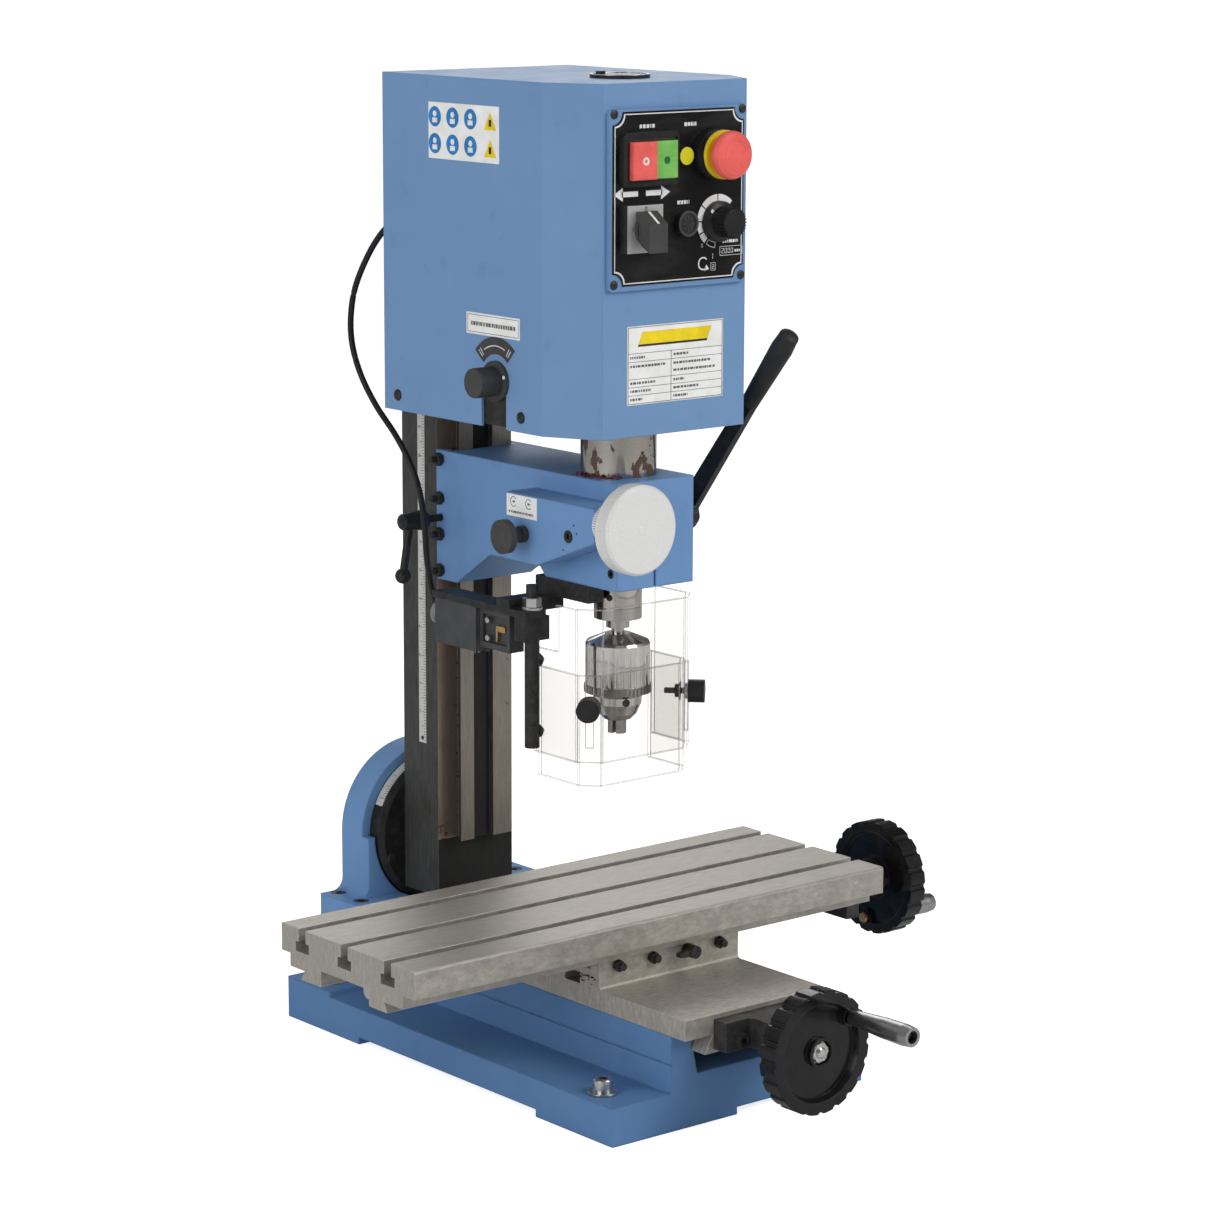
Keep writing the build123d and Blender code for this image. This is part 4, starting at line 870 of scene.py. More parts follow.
def height_scale():
    """Ruler with centimetre numbers on the column's left face."""
    face = left_plane(-32.4)
    zero, mark_a = 200, -169.2
    plate("height_scale", (-177.0, -169.0, 198, 573), face, 0.35, scale_white,
          "column", "bright_steel")
    marks = Solid(face, 0.3, 0.42)
    for i in range(0, 372, 2):
        z = zero + i
        length = 5.0 if i % 10 == 0 else 2.4
        marks.bar(mark_a - length, mark_a, z - 0.14, z + 0.14)
        if i % 20 == 0 and i:
            marks.digits(str(i // 10), -176.2, z - 0.9, size=0.9, width=0.22)
    marks.on(face, 0.3, 0.8)
    for z in (201.5, 570):
        marks.disc(-173.0, z, 1.3, segments=16)
    marks.done("height_scale_marks", dark_print, "column", "black_steel")


# ------------------------------------------------------------------ dials and chuck
def dial_marks(name, body, axis, origin, sign, radius, count, long, short, half_width=0.16):
    """Marks round a drum, long every fifth and numbered every tenth."""
    marks = Solid()
    for i in range(count):
        plane = rim_plane(axis, origin, 2 * math.pi * i / count, sign)
        marks.on(plane, radius - 0.05, radius + 0.08)
        marks.bar(-half_width, half_width, 0, long if i % 5 == 0 else short)
        if i % 10 == 0:
            marks.digits(str(i), -0.9, long + 0.8, size=1.0, width=0.24)
    marks.done(name, dark_print, body, "black_steel")


def dials():
    """Marks on both handwheel collars and on the fine feed dial, with its knurl and centre."""
    fine_x, fine_z = -46.5, 383.5
    dial_marks("x_dial_marks", "x_screw", 0, (200.4, 1.3, 91.0), 1, radius=15.0, count=80,
               long=6, short=3.6)
    dial_marks("y_dial_marks", "y_screw", 1, (0, -178.5, 60.0), -1, radius=15.0, count=80,
               long=5, short=3.2)
    dial_marks("fine_dial_marks", "fine_feed", 1, (fine_x, -46.2, fine_z), -1, radius=12.7,
               count=50, long=5.5, short=3.4, half_width=0.14)
    knurl = Solid()
    knurl.around(rectangle(-0.5, 0.5, 0, 7.2), 1, (fine_x, -77.8, fine_z), 120, 28.9, 29.25)
    knurl.done("fine_dial_knurl", dial_steel, "fine_feed", "bright_steel")
    centre = [(0.01, -80.15), (2.6, -80.15), (3.0, -80.0), (3.0, -79.9), (0.01, -79.9)]
    turned("fine_dial_centre", centre, (fine_x, 0, fine_z), 1, 24,
           dial_steel, "fine_feed", "bright_steel")


def chuck_details():
    """Toothed ring, and black discs that paint the shade in three key holes and one hole above
    them.
    """
    axis_point = (0, 0, 0)
    tooth = [(-0.95, 260.1), (0.95, 260.1), (0.95, 263.6),
             (0.45, 265.2), (-0.45, 265.2), (-0.95, 263.6)]
    teeth = Solid()
    teeth.around(tooth, 2, axis_point, 44, 20.6, 22.5)
    teeth.lathe([(20.5, 260.0), (21.9, 260.3), (21.9, 265.4), (20.5, 265.6)], axis_point, 2, 64)
    teeth.done("chuck_key_teeth", jaw_steel, "spindle", "chrome", smooth=True)
    # Black discs: painted shade standing in for the dark insides of the key holes.
    holes = Solid()
    holes.around(circle(0, 254.8, 2.6, 24), 2, axis_point, 3, 14.4, 16.25, start=-1.9)
    holes.on((axis_point, (-0.5, 0.866, 0), (0, 0, 1), (-0.866, -0.5, 0)), 14, 16.08)
    holes.disc(0, 325.5, 2.2, segments=20)
    holes.done("chuck_key_hole_shade", black_steel, "spindle", "black_steel")


# ------------------------------------------------------------------ switch panel
PANEL_Y = -58.8
INK = (0.45, 0.62)               # depth of the print over the panel
SPEED_X, SPEED_Z = 32.7, 573.8   # centre of the speed knob
STOP_X, STOP_Z = 26.5, 617.3     # centre of the stop button
FUSE_X, FUSE_Z = 4.0, 574.1      # centre of the fuse cap


def notched(half_width, notch, z0, z1, segments=8):
    """Rectangle outline with a round notch at each corner."""
    outline = []
    for cx, cz, start in ((-half_width, z0, 90), (half_width, z0, 180),
                          (half_width, z1, 270), (-half_width, z1, 360)):
        outline += [polar(cx, cz, notch, start - 90 * i / segments) for i in range(segments + 1)]
    return outline


def rounded(x0, x1, z0, z1, radius):
    """Rectangle outline with rounded corners."""
    corners = ((x1 - radius, z1 - radius, 0), (x0 + radius, z1 - radius, 90),
               (x0 + radius, z0 + radius, 180), (x1 - radius, z0 + radius, 270))
    return [polar(cx, cz, radius, a) for cx, cz, start in corners
            for a in range(start, start + 91, 15)]


def panel_face():
    """Black face and all its white print."""
    face = Solid(front_plane(PANEL_Y), 0, 0.5)
    face.extrude(notched(54.5, 8.0, 536.8, 646.0))
    face.done("panel_face", panel_face_material(), *PANEL)

    ink = Solid(front_plane(PANEL_Y), *INK)
    ink.border(notched(53.3, 7.6, 538.0, 644.8), notched(52.6, 7.9, 538.7, 644.1))
    # arrows pointing left and right: centre, shaft start and end, side
    arrow_z = 594.6
    for cx, start, end, side in ((-42.0, -5.5, 8, -1), (-19.5, -8, 5.5, 1)):
        ink.bar(cx + start, cx + end, arrow_z - 1.7, arrow_z + 1.7)
        root = cx + side * 4.5
        ink.extrude([(root, 590.2), (cx + side * 12.0, arrow_z), (root, 599.0)])
    # captions
    captions = [(636.6, -33.0, -20.5), (636.6, 4.0, 14.0), (587.4, -1.5, 8.5)]
    ink.text_rows(captions, height=2.4, seed=5)
    ink.text_rows([(560.6, 37.0, 50.0)], height=2.0, seed=9)
    ink.digits("2000", 36.4, 553.0, size=1.5, width=0.42)
    ink.text_rows([(554.2, 47.4, 52.0)], height=1.6, seed=4)
    ink.box_outline(34.8, 53.8, (557.3, 551.6), width=0.35)
    # speed dial: inner and outer radius, start and end in degrees
    for sector in ((12.6, 17.4, 46, 88.5), (12.6, 17.4, 91.5, 140), (12.6, 17.4, 143, 177),
                   (13.4, 17.4, 180, 206), (13.4, 17.4, 209, 230),
                   (16.7, 17.2, 236, 262), (13.4, 13.8, 236, 262)):
        ink.arc(SPEED_X, SPEED_Z, *sector, segments=8)
    for degrees in (236, 262):
        ink.stroke(polar(SPEED_X, SPEED_Z, 13.5, degrees),
                   polar(SPEED_X, SPEED_Z, 17, degrees), width=0.35)
    ink.digits("0", 19.0, 557.8, size=1.1, width=0.35)
    # turn symbol with its numbers
    ink.arc(20.6, 547.3, 3.4, 4.3, 40, 310, segments=16)
    ink.extrude([(21.4, 542.6), (25.6, 543.4), (23.4, 546.6)])
    ink.digits("1", 27.2, 550.2, size=1.5, width=0.42)
    ink.digits("2", 28.4, 543.7, size=1.2, width=0.36)
    ink.box_outline(27.2, 30.9, (547.4, 542.6), width=0.3)
    ink.done("panel_print", white_print, *PANEL)


def panel_screws():
    """Domed cross-slot screws at the corners."""
    head = [(0.01, PANEL_Y - 1.3), (1.2, PANEL_Y - 1.25), (2.9, PANEL_Y - 0.5),
            (3.0, PANEL_Y + 0.1), (0.01, PANEL_Y + 0.1)]
    corners = [(x, z) for z in (538.0, 644.8) for x in (-53.2, 53.2)]
    for i, (x, z) in enumerate(corners):
        turned(f"panel_screw_{i}", head, (x, 0, z), 1, 24, black_bolt, "quill", "black_steel")
        tilted = ((x, PANEL_Y - 1.28, z), (0.8, 0, 0.6), (-0.6, 0, 0.8), (0, -1, 0))
        slot = Solid(tilted, -0.1, 0.05)
        slot.bar(-1.7, 1.7, -0.3, 0.3)
        slot.bar(-0.3, 0.3, -1.7, 1.7)
        slot.done(f"panel_screw_slot_{i}", dark_print, "quill", "black_steel")


def switches():
    """Frame and marks of the power switch, direction switch marks and fuse cap ring."""
    rim = Solid(front_plane(PANEL_Y), 0.5, 5.6)
    rim.border(rounded(-49.6, -4.1, 599.4, 633.4, 4.0), rounded(-46.6, -5.2, 602.0, 629.9, 2.2))
    rim.done("power_switch_rim", black_plastic, *PANEL)
    off = Solid(front_plane(PANEL_Y - 9.2), -0.05, 0.12)
    off.arc(-34.6, 615.4, 1.1, 2.6, 0, 360, segments=28)
    off.done("off_button_mark", white_print, "off_button", "red_plastic")
    on = Solid(front_plane(PANEL_Y - 6.4), -0.05, 0.25)
    on.disc(-15.0, 615.2, 2.4)
    on.done("on_button_mark", green_dark, "on_button", "green_plastic")

    along = Vector((0, -10.5, -7.4)).normalized()
    outward = Vector((0, -7.4, 10.5)).normalized()
    pointer = Solid(((-33.8, -69.3, 584.4), (1, 0, 0), along, outward), 0.0, 0.25)
    pointer.bar(-0.9, 0.9, 0.6, 12.4)
    pointer.done("direction_pointer", white_print, "direction_switch", "black_plastic")
    marks = Solid(front_plane(PANEL_Y - 8.0), -0.02, 0.12)
    for text, x, z in (("1", -45.5, 573), ("0", -34.1, 585.5), ("1", -24.6, 580.5)):
        marks.digits(text, x, z - 1.2, size=1.2, width=0.35)
    marks.done("direction_marks", dark_print, *PANEL)

    fuse_plane = front_plane(PANEL_Y - 5.0)
    fuse = Solid(fuse_plane, -0.1, 0.8)
    fuse.arc(FUSE_X, FUSE_Z, 6.6, 8.3, 0, 360, segments=40)
    fuse.on(fuse_plane, -0.1, 0.25)
    for degrees in range(0, 360, 45):
        fuse.stroke(polar(FUSE_X, FUSE_Z, 2.6, degrees), polar(FUSE_X, FUSE_Z, 5.0, degrees), 0.6)
    fuse.done("fuse_cap_ring", dark_knob, *PANEL)


def speed_knob():
    flutes = Solid()
    flutes.around(rectangle(-0.45, 0.45, 0, 11.3), 1, (SPEED_X, -76.3, SPEED_Z), 30, 8.8, 9.9)
    flutes.done("speed_knob_flutes", black_plastic, "speed_control", "black_plastic")
    tilted = ((SPEED_X, -64.2, SPEED_Z), (0.62, 0, 0.78), (-0.78, 0, 0.62), (0, -1, 0))
    plate("speed_knob_pointer", (-1.1, 1.1, 9.0, 12.4), tilted, 0.35, white_print,
          "speed_control", "black_plastic")


def stop_button():
    """Three raised arcs on the mushroom face, and ribs and beads on the collar."""
    ring = Solid(front_plane(PANEL_Y - 25.4), -0.6, 0.5)
    for start in (20, 140, 260):
        ring.arc(STOP_X, STOP_Z, 8.6, 10.0, start, start + 70, segments=10)
    ring.done("stop_button_ring", red_plastic, "stop_mushroom", "red_plastic")
    ribs = Solid()
    ribs.around(rectangle(-0.6, 0.6, 0, 6.2), 1, (STOP_X, -65.9, STOP_Z), 36, 15.8, 16.5)
    for y in (-67.4, -69.2):
        ribs.lathe([(14.8, y), (15.5, y - 0.2), (15.5, y - 0.9), (14.8, y - 1.1)],
                   (STOP_X, 0, STOP_Z), 1, 48)
    ribs.done("stop_collar_ribs", black_plastic, *PANEL, smooth=True)


# ------------------------------------------------------------------ labels
COVER_SIDE = -78.8         # x of the head cover's left face
LABEL_INK = (0.2, 0.34)    # depth of the print over a label


def pictogram_label():
    """Two rows of three blue discs and a yellow triangle."""
    face = left_plane(COVER_SIDE)
    plate("pictogram_label", (-100, -25, 610, 646.5), face, 0.25, white_label, *COVER)
    discs, triangles = Solid(face, 0.2, 0.36), Solid(face, 0.2, 0.36)
    glyphs, marks = Solid(face, 0.34, 0.46), Solid(face, 0.34, 0.46)
    for row in range(2):
        z = 637.2 - row * 17.4
        for column in range(3):
            a = -93.0 + column * 19.0
            discs.disc(a, z, 6.6)
            glyphs.disc(a, z + 1.8, 2.0, segments=20)
            glyphs.bar(a - 2.6, a + 2.6, z - 4.0, z - 0.8)
        triangles.extrude([(-40.6, z - 6.0), (-28.0, z - 6.0), (-34.3, z + 5.4)])
        marks.bar(-35.6, -33.0, z - 3.8, z + 0.6)
    discs.done("pictogram_discs", blue_print, *COVER)
    triangles.done("pictogram_triangles", yellow_print, *COVER)
    glyphs.done("pictogram_glyphs", white_print, *COVER)
    marks.done("triangle_marks", dark_print, *COVER)


def small_label():
    face = left_plane(COVER_SIDE)
    plate("small_label", (-60, -4, 499, 513), face, 0.25, white_label, *COVER)
    ink = Solid(face, *LABEL_INK)
    ink.box_outline(-58.6, -5.4, (500.4, 511.6), width=0.35)
    ink.text_rows([(506.0, -55.0, -8.5)], height=2.6, seed=11)
    ink.done("small_label_print", grey_print, *COVER)


def rating_plate():
    """Ruled plate on the front, under the switch panel, with a slanted yellow band."""
    face = front_plane(-55.8)
    left, right, low, high = -38.8, 40.2, 460.8, 509.7
    plate("rating_plate", (-39.6, 41, 460, 510.5), face, 0.3, white_label, *COVER)
    ink = Solid(face, 0.25, 0.40)
    ink.box_outline(left, right, (low, high), width=0.4)
    ink.stroke((-3.0, low), (-3.0, 493.0), width=0.4)
    for z in (466.2, 471.4, 476.6, 487.6, 493.0):
        ink.stroke((left, z), (right, z), width=0.3)
    # z, x start, x end
    rows = [(463.6, -37.0, -27), (463.6, -1, 11), (468.9, -37.0, -20), (468.9, -1, 20),
            (474.1, -37.0, -16), (474.1, -1, 8), (480.2, -1, 34), (484.8, -37.0, -8),
            (484.8, -1, 30), (490.4, -37.0, -25), (490.4, -1, 12)]
    ink.text_rows(rows, height=1.5, seed=21)
    ink.done("rating_plate_print", grey_print, *COVER)
    band = Solid(face, 0.25, 0.42)
    band.extrude([(-31, 497.2), (27, 497.2), (31, 506.6), (-27, 506.6)])
    band.done("rating_plate_band", yellow_print, *COVER)
    edge = Solid(face, 0.40, 0.5)
    edge.extrude([(-31, 497.2), (27, 497.2), (27.6, 498.6), (-30.4, 498.6)])
    edge.done("rating_plate_band_edge", dark_print, *COVER)


def boss_label():
    """Two turn arrows over a line of lettering."""
    face = left_plane(-57)
    plate("boss_label", (-46, -14, 378.5, 393), face, 0.25, white_label, *HEAD_LABEL)
    ink = Solid(face, *LABEL_INK)
    z = 388.2
    for a, side in ((-38.5, -1), (-22.5, 1)):
        ink.arc(a, z, 3.0, 3.5, 40, 320, segments=16)
        root = a - side * 1.2
        ink.extrude([(root, z - 1.0), (a + side * 2.2, z), (root, z + 1.0)])
    ink.text_rows([(381.4, -43.5, -17.0)], height=1.5, seed=8)
    ink.done("boss_label_print", grey_print, *HEAD_LABEL)


# ------------------------------------------------------------------ head cover and head
def range_selector():
    """Printed plate, knob dot, slot shutter and knob knurl on the cover's left side."""
    knob_y, knob_z = 28.5, 470.5
    sector = Solid(left_plane(COVER_SIDE), 0, 0.6)
    sector.arc(-knob_y, knob_z, 17.5, 28.5, 48, 140, segments=28)
    sector.done("range_plate", dark_knob, *PANEL)
    ink = Solid(left_plane(COVER_SIDE), 0.55, 0.75)
    ink.arc(-knob_y, knob_z, 22.5, 23.2, 66, 122, segments=20)
    for middle in (55, 131):
        for offset in (-2.4, 2.4):
            ink.stroke(polar(-knob_y, knob_z, 20.6, middle + offset),
                       polar(-knob_y, knob_z, 25.6, middle + offset), width=0.6)
    ink.done("range_plate_print", white_print, *PANEL)
    dot = Solid(left_plane(-81.2), -0.05, 0.25)
    dot.disc(-knob_y + 10.6, 474.0, 1.3, segments=18)
    dot.done("range_knob_dot", white_print, "range_selector", "black_plastic")
    plate("slot_shutter", (-44.6, -18.4, 441, 462), left_plane(-76.4), 0.5, black_bracket,
          "quill", "black_steel")
    knurl = Solid()
    knurl.around(rectangle(-0.28, 0.28, -96.8, -82.5), 0, (0, knob_y, knob_z), 48, 9.4, 9.75)
    knurl.done("range_knob_knurl", dark_knob, "range_selector", "black_plastic")


def cover_details():
    """Two domed screws on each side of the cover, and the rim of the top cap."""
    places = [(side, y, z) for side in (-1, 1) for y, z in ((136.1, 449.9), (3.0, 449.3))]
    for i, (side, y, z) in enumerate(places):
        # radius and height above the side face
        dome = ((0.01, 1.9), (2.2, 1.8), (3.7, 0.8), (3.9, -0.1), (0.01, -0.1))
        profile = [(radius, side * (-COVER_SIDE + rise)) for radius, rise in dome]
        turned(f"cover_screw_{i}", profile, (0, y, z), 0, 24, black_bolt, "quill", "black_steel")
    turned("top_cap_rim", [(17.6, 665.7), (19.4, 665.7), (19.4, 666.2), (17.8, 666.2)],
           (0, 0, 0), 2, 56, screw_steel, "cap", "bright_steel")


def head_details():
    """Quill clamp screw, three small pips on the left boss and the ring round the quill."""
    socket_screw("quill_clamp_screw", (32.4, -30.0, 378.0), 0, 6.0, 8.0, 5.0,
                 black_bolt, "head", "black_steel")
    pips = Solid(left_plane(-57), -0.05, 0.12)
    for y, z in ((-24.0, 380.5), (-26.6, 375.5), (-13.0, 363.0)):
        pips.disc(-y, z, 0.7, segments=12)
    pips.done("boss_pips", black_steel, "head", "black_steel")
    turned("quill_felt_ring", [(16.2, 440.0), (25.6, 440.0), (26.4, 441.5), (16.2, 441.5)],
           (0, 0, 0), 2, 48, black_steel, "quill", "black_steel")


# ------------------------------------------------------------------ grease
def grease_blobs(name, material, blobs, body, seed):
    """Flattened lumpy balls; blobs are (centre, size)."""
    draw = random.Random(seed)
    base_radius, rows, columns = 1.1, 9, 14
    solid = Solid()
    for (x, y, z), size in blobs:
        k = len(solid.verts)
        for i in range(rows + 1):
            polar_angle = math.pi * i / rows
            for j in range(columns):
                turn = 2 * math.pi * j / columns
                lumps = 1 + 0.25 * math.sin(3 * turn + x) + 0.12 * draw.uniform(-1, 1)
                r = base_radius * size * lumps
                out = r * math.sin(polar_angle)
                solid.verts.append((x + out * math.cos(turn), y + out * math.sin(turn),
                                    z + 0.55 * r * math.cos(polar_angle)))
        for i in range(rows):
            for j in range(columns):
                a, b = k + i * columns + j, k + i * columns + (j + 1) % columns
                solid.faces.append((a, a + columns, b + columns, b))
    solid.done(name, material, body, "bronze", smooth=True, angle=80)


def grease():
    """Red grease squeezed out round the quill and along the ways."""
    uniform = random.Random(7).uniform
    red = grease_material()
    blobs = []
    for i in range(26):
        turn = math.radians(150 + i * 3.4 + uniform(-2, 2))
        radius = 25.9 + uniform(0, 4.5) * (1 if i % 3 else 1.6)
        centre = (radius * math.cos(turn), radius * math.sin(turn), 406.6 + uniform(0, 1.2))
        blobs.append((centre, uniform(0.5, 1.5)))
    grease_blobs("quill_grease", red, blobs, "head", seed=5)
    blobs = [((-31.4 + uniform(-0.5, 6), 155.2, 131 + i * 0.9 + uniform(-1, 1)),
              uniform(0.4, 1.0)) for i in range(14)]
    blobs += [((-16.5 + uniform(-0.8, 0.8), 154.6, 135 + i * 9.0 + uniform(-4, 4)),
               uniform(0.3, 0.7)) for i in range(20)]
    grease_blobs("way_grease", red, blobs, "column", seed=6)
    blobs = [((-60.4, -50 + i * 1.1 + uniform(-1, 1), 79 + uniform(0, 6)),
              uniform(0.4, 1.2)) for i in range(16)]
    grease_blobs("saddle_grease", red, blobs, "saddle", seed=8)


# ------------------------------------------------------------------ clamp and guard
def clamp_hub():
    cap = [(0.01, -66.9), (2.6, -66.8), (3.2, -66.4), (3.2, -65.9), (0.01, -65.9)]
    turned("clamp_hub_cap", cap, (0, 151.0, 360.0), 0, 32, black_steel,
           "head_clamp", "black_steel")


def edge_glints(piece, body, material):
    """Thin three-sided rods along the edges and corners of a clear sheet."""
    size = 0.22
    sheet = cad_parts[piece]
    mesh = bmesh.new()
    mesh.from_mesh(sheet.data)
    bmesh.ops.remove_doubles(mesh, verts=mesh.verts, dist=1e-6)
    to_world = sheet.matrix_world
    solid = Solid()
    for edge in mesh.edges:
        if (len(edge.link_faces) == 2 and edge.calc_face_angle(0) > 0.35
                and edge.calc_length() > 0.0006):
            start, end = ((to_world @ vert.co) / MM for vert in edge.verts)
            out = (edge.link_faces[0].normal + edge.link_faces[1].normal).normalized()
            side = (end - start).normalized().cross(out).normalized()
            k = len(solid.verts)
            for p in (start, end):
                solid.verts += [tuple(p + out * size * 0.6),
                                tuple(p + side * size - out * size * 0.4),
                                tuple(p - side * size - out * size * 0.4)]
            prism = ((0, 1, 4, 3), (1, 2, 5, 4), (2, 0, 3, 5), (0, 2, 1), (3, 4, 5))
            solid.faces += [tuple(k + corner for corner in face) for face in prism]
    mesh.free()
    solid.done(piece + "_edge_glint", material, body, "clear_acrylic")


def guard_details():
    """Edge glints, knob washers, contact block parts, grommet and rod pins."""
    glint = glint_material()
    edge_glints("guard_upper", "guard", glint)
    edge_glints("guard_lower", "guard_sleeve", glint)
    for i, side in enumerate((-1, 1)):
        outward = Vector((side * 0.70711, -0.70711, 0))
        centre = Vector((side * 42.5, -22.5, 258))
        # radius, inner face and outer face along the knob axis
        for j, (radius, near, far) in enumerate(((5.4, -2.2, 0.0), (6.6, -5.8, -4.9))):
            washer = Solid()
            stations = (near, near + 0.25, far - 0.25, far)
            washer.sweep([centre + outward * s for s in stations], radius, 28,
                         lambda t: 1.0 if 0.2 < t < 0.8 else 0.93)
            washer.done(f"guard_knob_washer_{i}_{j}", screw_steel, "guard_sleeve",
                        "bright_steel", smooth=True)
    screws = Solid()
    for z in (294.5, 306.5):
        screws.lathe([(0.01, -64.2), (2.0, -64.0), (2.3, -63.2), (2.3, -61.8), (0.01, -61.8)],
                     (0, 59.0, z), 0, 20)
    screws.done("contact_screws", screw_steel, "head", "bright_steel", smooth=True)
    blade = Solid(left_plane(-59.2), 0, 2.0)
    blade.bar(-52.0, -43.0, 299.5, 303.5)
    blade.on(left_plane(-59.2), 0, 2.6)
    blade.bar(-52.0, -50.5, 293.0, 303.5)
    blade.done("contact_blade", brass, "head", "bronze")
    grommet = [(0.01, 113.8), (7.5, 113.8), (8.8, 115.5), (8.0, 119.0), (4.5, 121.5),
               (2.4, 122.5), (0.01, 122.5)]
    turned("cable_grommet", grommet, (-58.0, 0, 302.0), 1, 28, grommet_grey,
           "head", "grey_plastic")
    pin = [(0.01, 16.4), (1.5, 16.4), (1.7, 16.8), (1.7, 17.4), (0.01, 17.4)]
    for i, (z, body) in enumerate(((262.0, "guard"), (240.0, "guard"), (300.5, "head"))):
        turned(f"rod_pin_{i}", pin, (-57.5, 0, z), 1, 16, black_steel, body, "black_steel")


def smooth_path(points, steps):
    """Catmull-Rom curve through the points."""
    path, last = [], len(points) - 1
    for i in range(last):
        p0, p1, p2, p3 = (Vector(points[max(0, min(j, last))]) for j in range(i - 1, i + 3))
        for k in range(steps):
            t = k / steps
            path.append(0.5 * ((2 * p1) + (p2 - p0) * t + (2 * p0 - 5 * p1 + 4 * p2 - p3) * t * t
                               + (3 * p1 - p0 - 3 * p2 + p3) * t ** 3))
    path.append(Vector(points[-1]))
    return path


# x, y, z stations of the cable, from the cover down to the grommet
CABLE_PATH = [
    (-62, 149.5, 569), (-70, 156.5, 562), (-75, 170, 545), (-78, 184, 520),
    (-78.5, 189.8, 498), (-78, 189, 478), (-76, 182, 458), (-74, 168, 439),
    (-72, 149, 421), (-70, 136, 404), (-68, 128, 386), (-66, 125.2, 365),
    (-62, 127.4, 337), (-59, 126.5, 318), (-58, 123.5, 307), (-58, 121.5, 302.5),
]


def guard_cable():
    """Cable swept as a fixed curved tube between the head and the quill cover."""
    solid = Solid()
    solid.sweep(smooth_path(CABLE_PATH, 8), 2.1, 12)
    cable = solid.done("guard_switch_cable", cable_black, None, "black_plastic",
                       smooth=True, angle=80)
    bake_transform(cable)


# ------------------------------------------------------------------ handwheels and lever
def handwheel_details():
    """Crank stud heads on both wheels; washer and nut on the Y wheel hub."""
    crank_radius = 32
    y, z = polar(1.3, 91, crank_radius, -76.8)
    stud = [(0.01, 235.4), (3.2, 235.4), (3.9, 236.4), (3.9, 238.4), (0.01, 238.4)]
    turned("x_crank_stud_head", stud, (0, y, z), 0, 24, bronze, "x_screw", "bronze")
    hub_z = 60
    x, z = polar(0, hub_z, crank_radius, 36)
    stud = [(0.01, -188.8), (3.2, -188.8), (3.9, -189.6), (3.9, -191.4), (0.01, -191.4)]
    turned("y_crank_stud_head", stud, (x, 0, z), 1, 24, bronze, "y_screw", "bronze")
    turned("y_hub_washer", [(5.1, -200.9), (7.4, -200.9), (7.4, -200.0), (5.1, -200.0)],
           (0, 0, hub_z), 1, 32, screw_steel, "y_screw", "bright_steel")
    nut = Solid(front_plane(0), 200.9, 203.0)
    nut.lathe([(0.01, -204.6), (2.6, -204.4), (3.7, -203.4), (3.9, -199.5), (0.01, -199.5)],
              (0, 0, hub_z), 1, 24)
    nut.extrude(circle(0, hub_z, 6.7, 6))
    nut.done("y_hub_nut_face", screw_steel, "y_screw", "bright_steel")


def lever_cap():
    """Rounded end of the feed lever grip."""
    along = Vector((0, -0.6225, 0.7826))
    end = Vector((81.6, 28, 368)) + along * 166.1
    factors = (1.0, 0.93, 0.7, 0.35)
    cap = Solid()
    cap.sweep([end - along * 1.2, end + along * 0.2, end + along * 1.2, end + along * 1.9],
              6.9, 24, lambda t: factors[round(t * 3)])
    cap.done("lever_grip_cap", grip_plastic, "feed", "black_plastic", smooth=True)


# ------------------------------------------------------------------ stage, light, camera
def floor():
    """White floor, 180 m square, that glows to the camera only."""
    mat = Mat("floor_white", (0.86, 0.86, 0.86), rough=0.7)
    mat.color = mat.mix(mat.noise(2, detail=3), (0.88, 0.88, 0.88), (0.87, 0.87, 0.87))
    mat.specular(0.1)
    mat.put(mat.shader.inputs["Emission Color"], (1, 1, 1))
    camera_ray = mat.node("ShaderNodeLightPath").outputs["Is Camera Ray"]
    mat.put(mat.shader.inputs["Emission Strength"], mat.times(camera_ray, 0.80))
    reach = 90000
    square = Solid()
    square.verts = [(a, b, 0) for a, b in rectangle(-reach, reach, -reach, reach)]
    square.faces = [(0, 1, 2, 3)]
    square.done("floor", mat.finish((mat.noise(400), 0.02)))


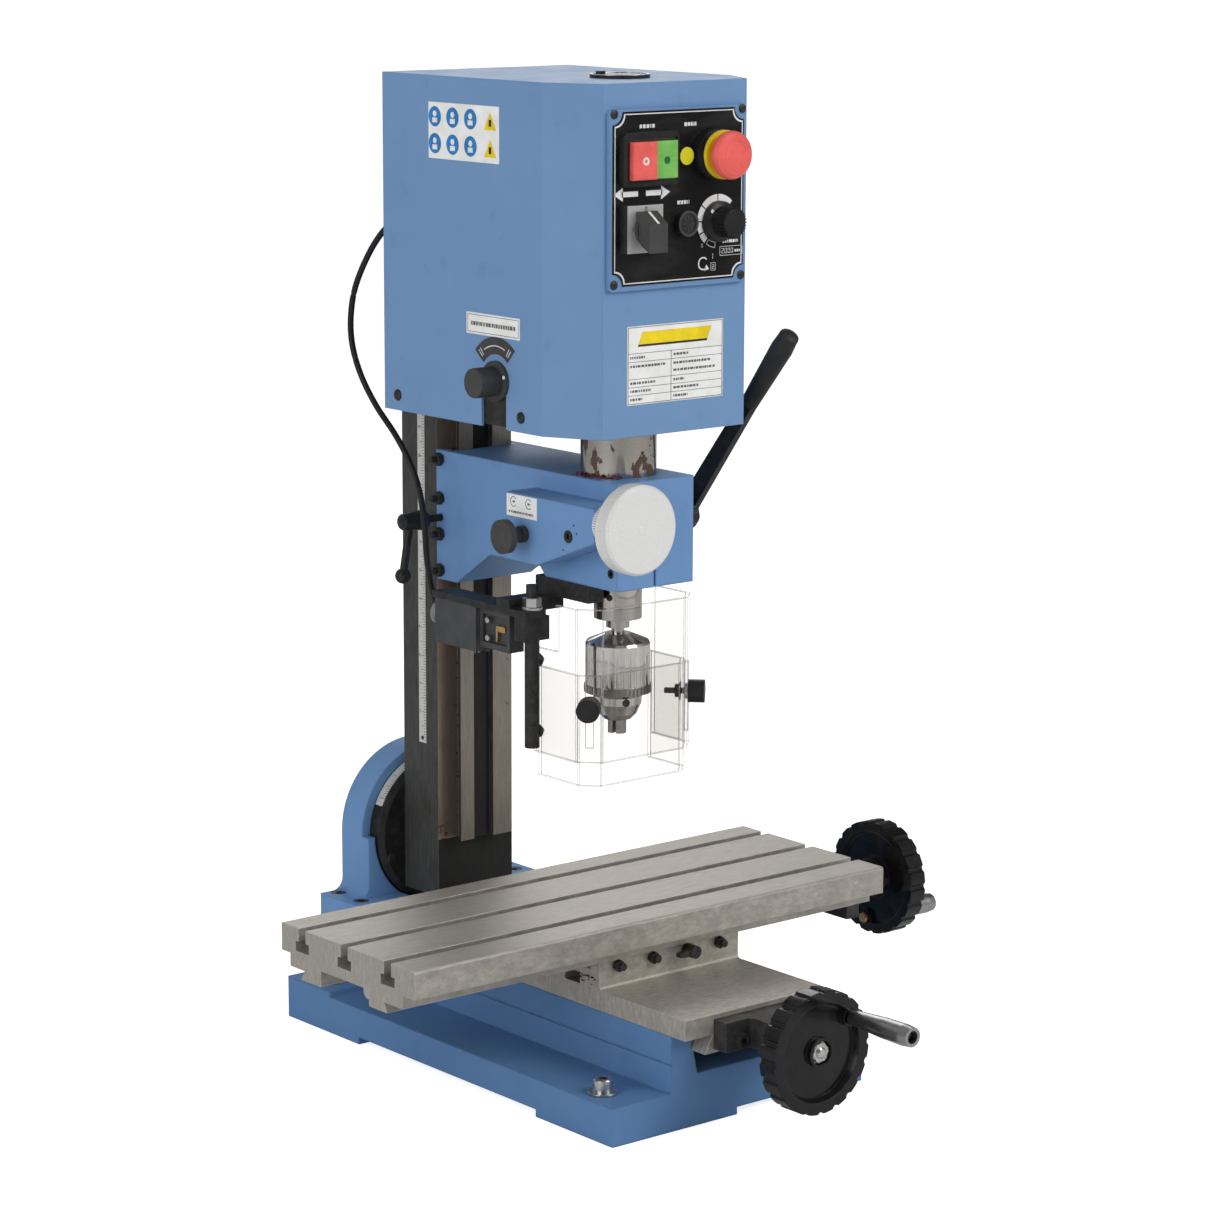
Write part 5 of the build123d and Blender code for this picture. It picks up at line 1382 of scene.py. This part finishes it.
def studio_world():
    """Soft light from all round; reflections see a dim studio with bright panels."""
    world = bpy.data.worlds.new("studio")
    bpy.context.scene.world = world
    world.use_nodes = True
    nodes, link = world.node_tree.nodes, world.node_tree.links.new
    nodes.clear()

    def background(strength):
        node = nodes.new("ShaderNodeBackground")
        node.inputs[1].default_value = strength
        return node

    def grey_ramp(source, first, last, *middle):
        """Stops are (position, grey)."""
        node = nodes.new("ShaderNodeValToRGB")
        elements = node.color_ramp.elements
        for element, (position, grey) in ((elements[0], first), (elements[1], last)):
            element.position, element.color = position, (grey, grey, grey, 1)
        for position, grey in middle:
            elements.new(position).color = (grey, grey, grey, 1)
        link(source, node.inputs[0])
        return node.outputs[0]

    def mixed(factor, first, second):
        node = nodes.new("ShaderNodeMixShader")
        for i, source in enumerate((factor, first.outputs[0], second.outputs[0])):
            link(source, node.inputs[i])
        return node

    direction = nodes.new("ShaderNodeSeparateXYZ")
    link(nodes.new("ShaderNodeTexCoord").outputs["Generated"], direction.inputs[0])
    diffuse = background(0.82)
    link(grey_ramp(direction.outputs[2], (0.0, 1.0), (0.8, 0.22)), diffuse.inputs[0])

    heading = nodes.new("ShaderNodeMath")
    heading.operation = "ARCTAN2"
    link(direction.outputs[0], heading.inputs[0])
    link(direction.outputs[1], heading.inputs[1])
    share = nodes.new("ShaderNodeMapRange")
    share.inputs[1].default_value, share.inputs[2].default_value = -math.pi, math.pi
    link(heading.outputs[0], share.inputs[0])
    panels = grey_ramp(share.outputs[0], (0.0, 0.10), (1.0, 0.42), (0.30, 0.10), (0.42, 0.55),
                       (0.52, 0.75), (0.60, 0.16), (0.74, 0.12), (0.86, 0.60))
    glossy = background(0.75)
    link(panels, glossy.inputs[0])

    seen = background(1.15)
    seen.inputs[0].default_value = (1, 1, 1, 1)
    rays = nodes.new("ShaderNodeLightPath")
    lit = mixed(rays.outputs["Is Glossy Ray"], diffuse, glossy)
    final = mixed(rays.outputs["Is Camera Ray"], lit, seen)
    link(final.outputs[0], nodes.new("ShaderNodeOutputWorld").inputs[0])


def area_light(name, place, target, size, power, color=(1, 1, 1)):
    light = bpy.data.lights.new(name, "AREA")
    light.energy, light.size, light.color = power, size, color
    light.shape = "SQUARE"
    lamp = bpy.data.objects.new(name, light)
    bpy.context.scene.collection.objects.link(lamp)
    lamp.location = place
    aim = Vector(target) - Vector(place)
    lamp.rotation_euler = aim.to_track_quat("-Z", "Y").to_euler()


def lights():
    area_light("key_light", (0.9, -2.0, 1.9), (0, 0, 0.35), size=1.3, power=27,
               color=(1.0, 0.99, 0.97))
    area_light("left_fill", (-2.4, -0.4, 1.1), (0, 0, 0.35), size=1.6, power=18,
               color=(0.97, 0.98, 1.0))
    area_light("top_light", (-0.2, 0.0, 2.4), (0, 0, 0.2), size=1.8, power=1.5)
    area_light("rim_light", (1.2, 1.6, 1.4), (0, 0, 0.4), size=1.0, power=8)


def camera():
    """Looks from the front left, slightly down."""
    heading, pitch, roll = math.radians(-39.5), math.radians(11.06), math.radians(0.18)
    level = Vector((-math.sin(heading), math.cos(heading), 0))
    level_right = Vector((math.cos(heading), math.sin(heading), 0))
    vertical = Vector((0, 0, 1))
    forward = level * math.cos(pitch) - vertical * math.sin(pitch)
    level_up = level * math.sin(pitch) + vertical * math.cos(pitch)
    right = level_right * math.cos(roll) + level_up * math.sin(roll)
    up = level_up * math.cos(roll) - level_right * math.sin(roll)
    lens = bpy.data.cameras.new("camera")
    lens.sensor_width, lens.lens = 36.0, 109.912685
    lens.clip_start, lens.clip_end = 0.05, 50
    viewer = bpy.data.objects.new("camera", lens)
    scene = bpy.context.scene
    scene.collection.objects.link(viewer)
    turn = Matrix((right, up, -forward)).transposed().to_4x4()
    viewer.matrix_world = Matrix.Translation((-1.5355, -1.8514, 0.7867)) @ turn
    scene.camera = viewer
    scene.view_settings.view_transform = "Standard"
    scene.view_settings.look = "None"


for build in (bench_bolts, tilt_scale, height_scale, dials, chuck_details, panel_face,
              panel_screws, switches, speed_knob, stop_button, pictogram_label, small_label,
              rating_plate, boss_label, range_selector, cover_details, head_details, grease,
              clamp_hub, guard_details, guard_cable, handwheel_details, lever_cap, floor,
              studio_world, lights, camera):
    build()

bpy.context.view_layer.update()
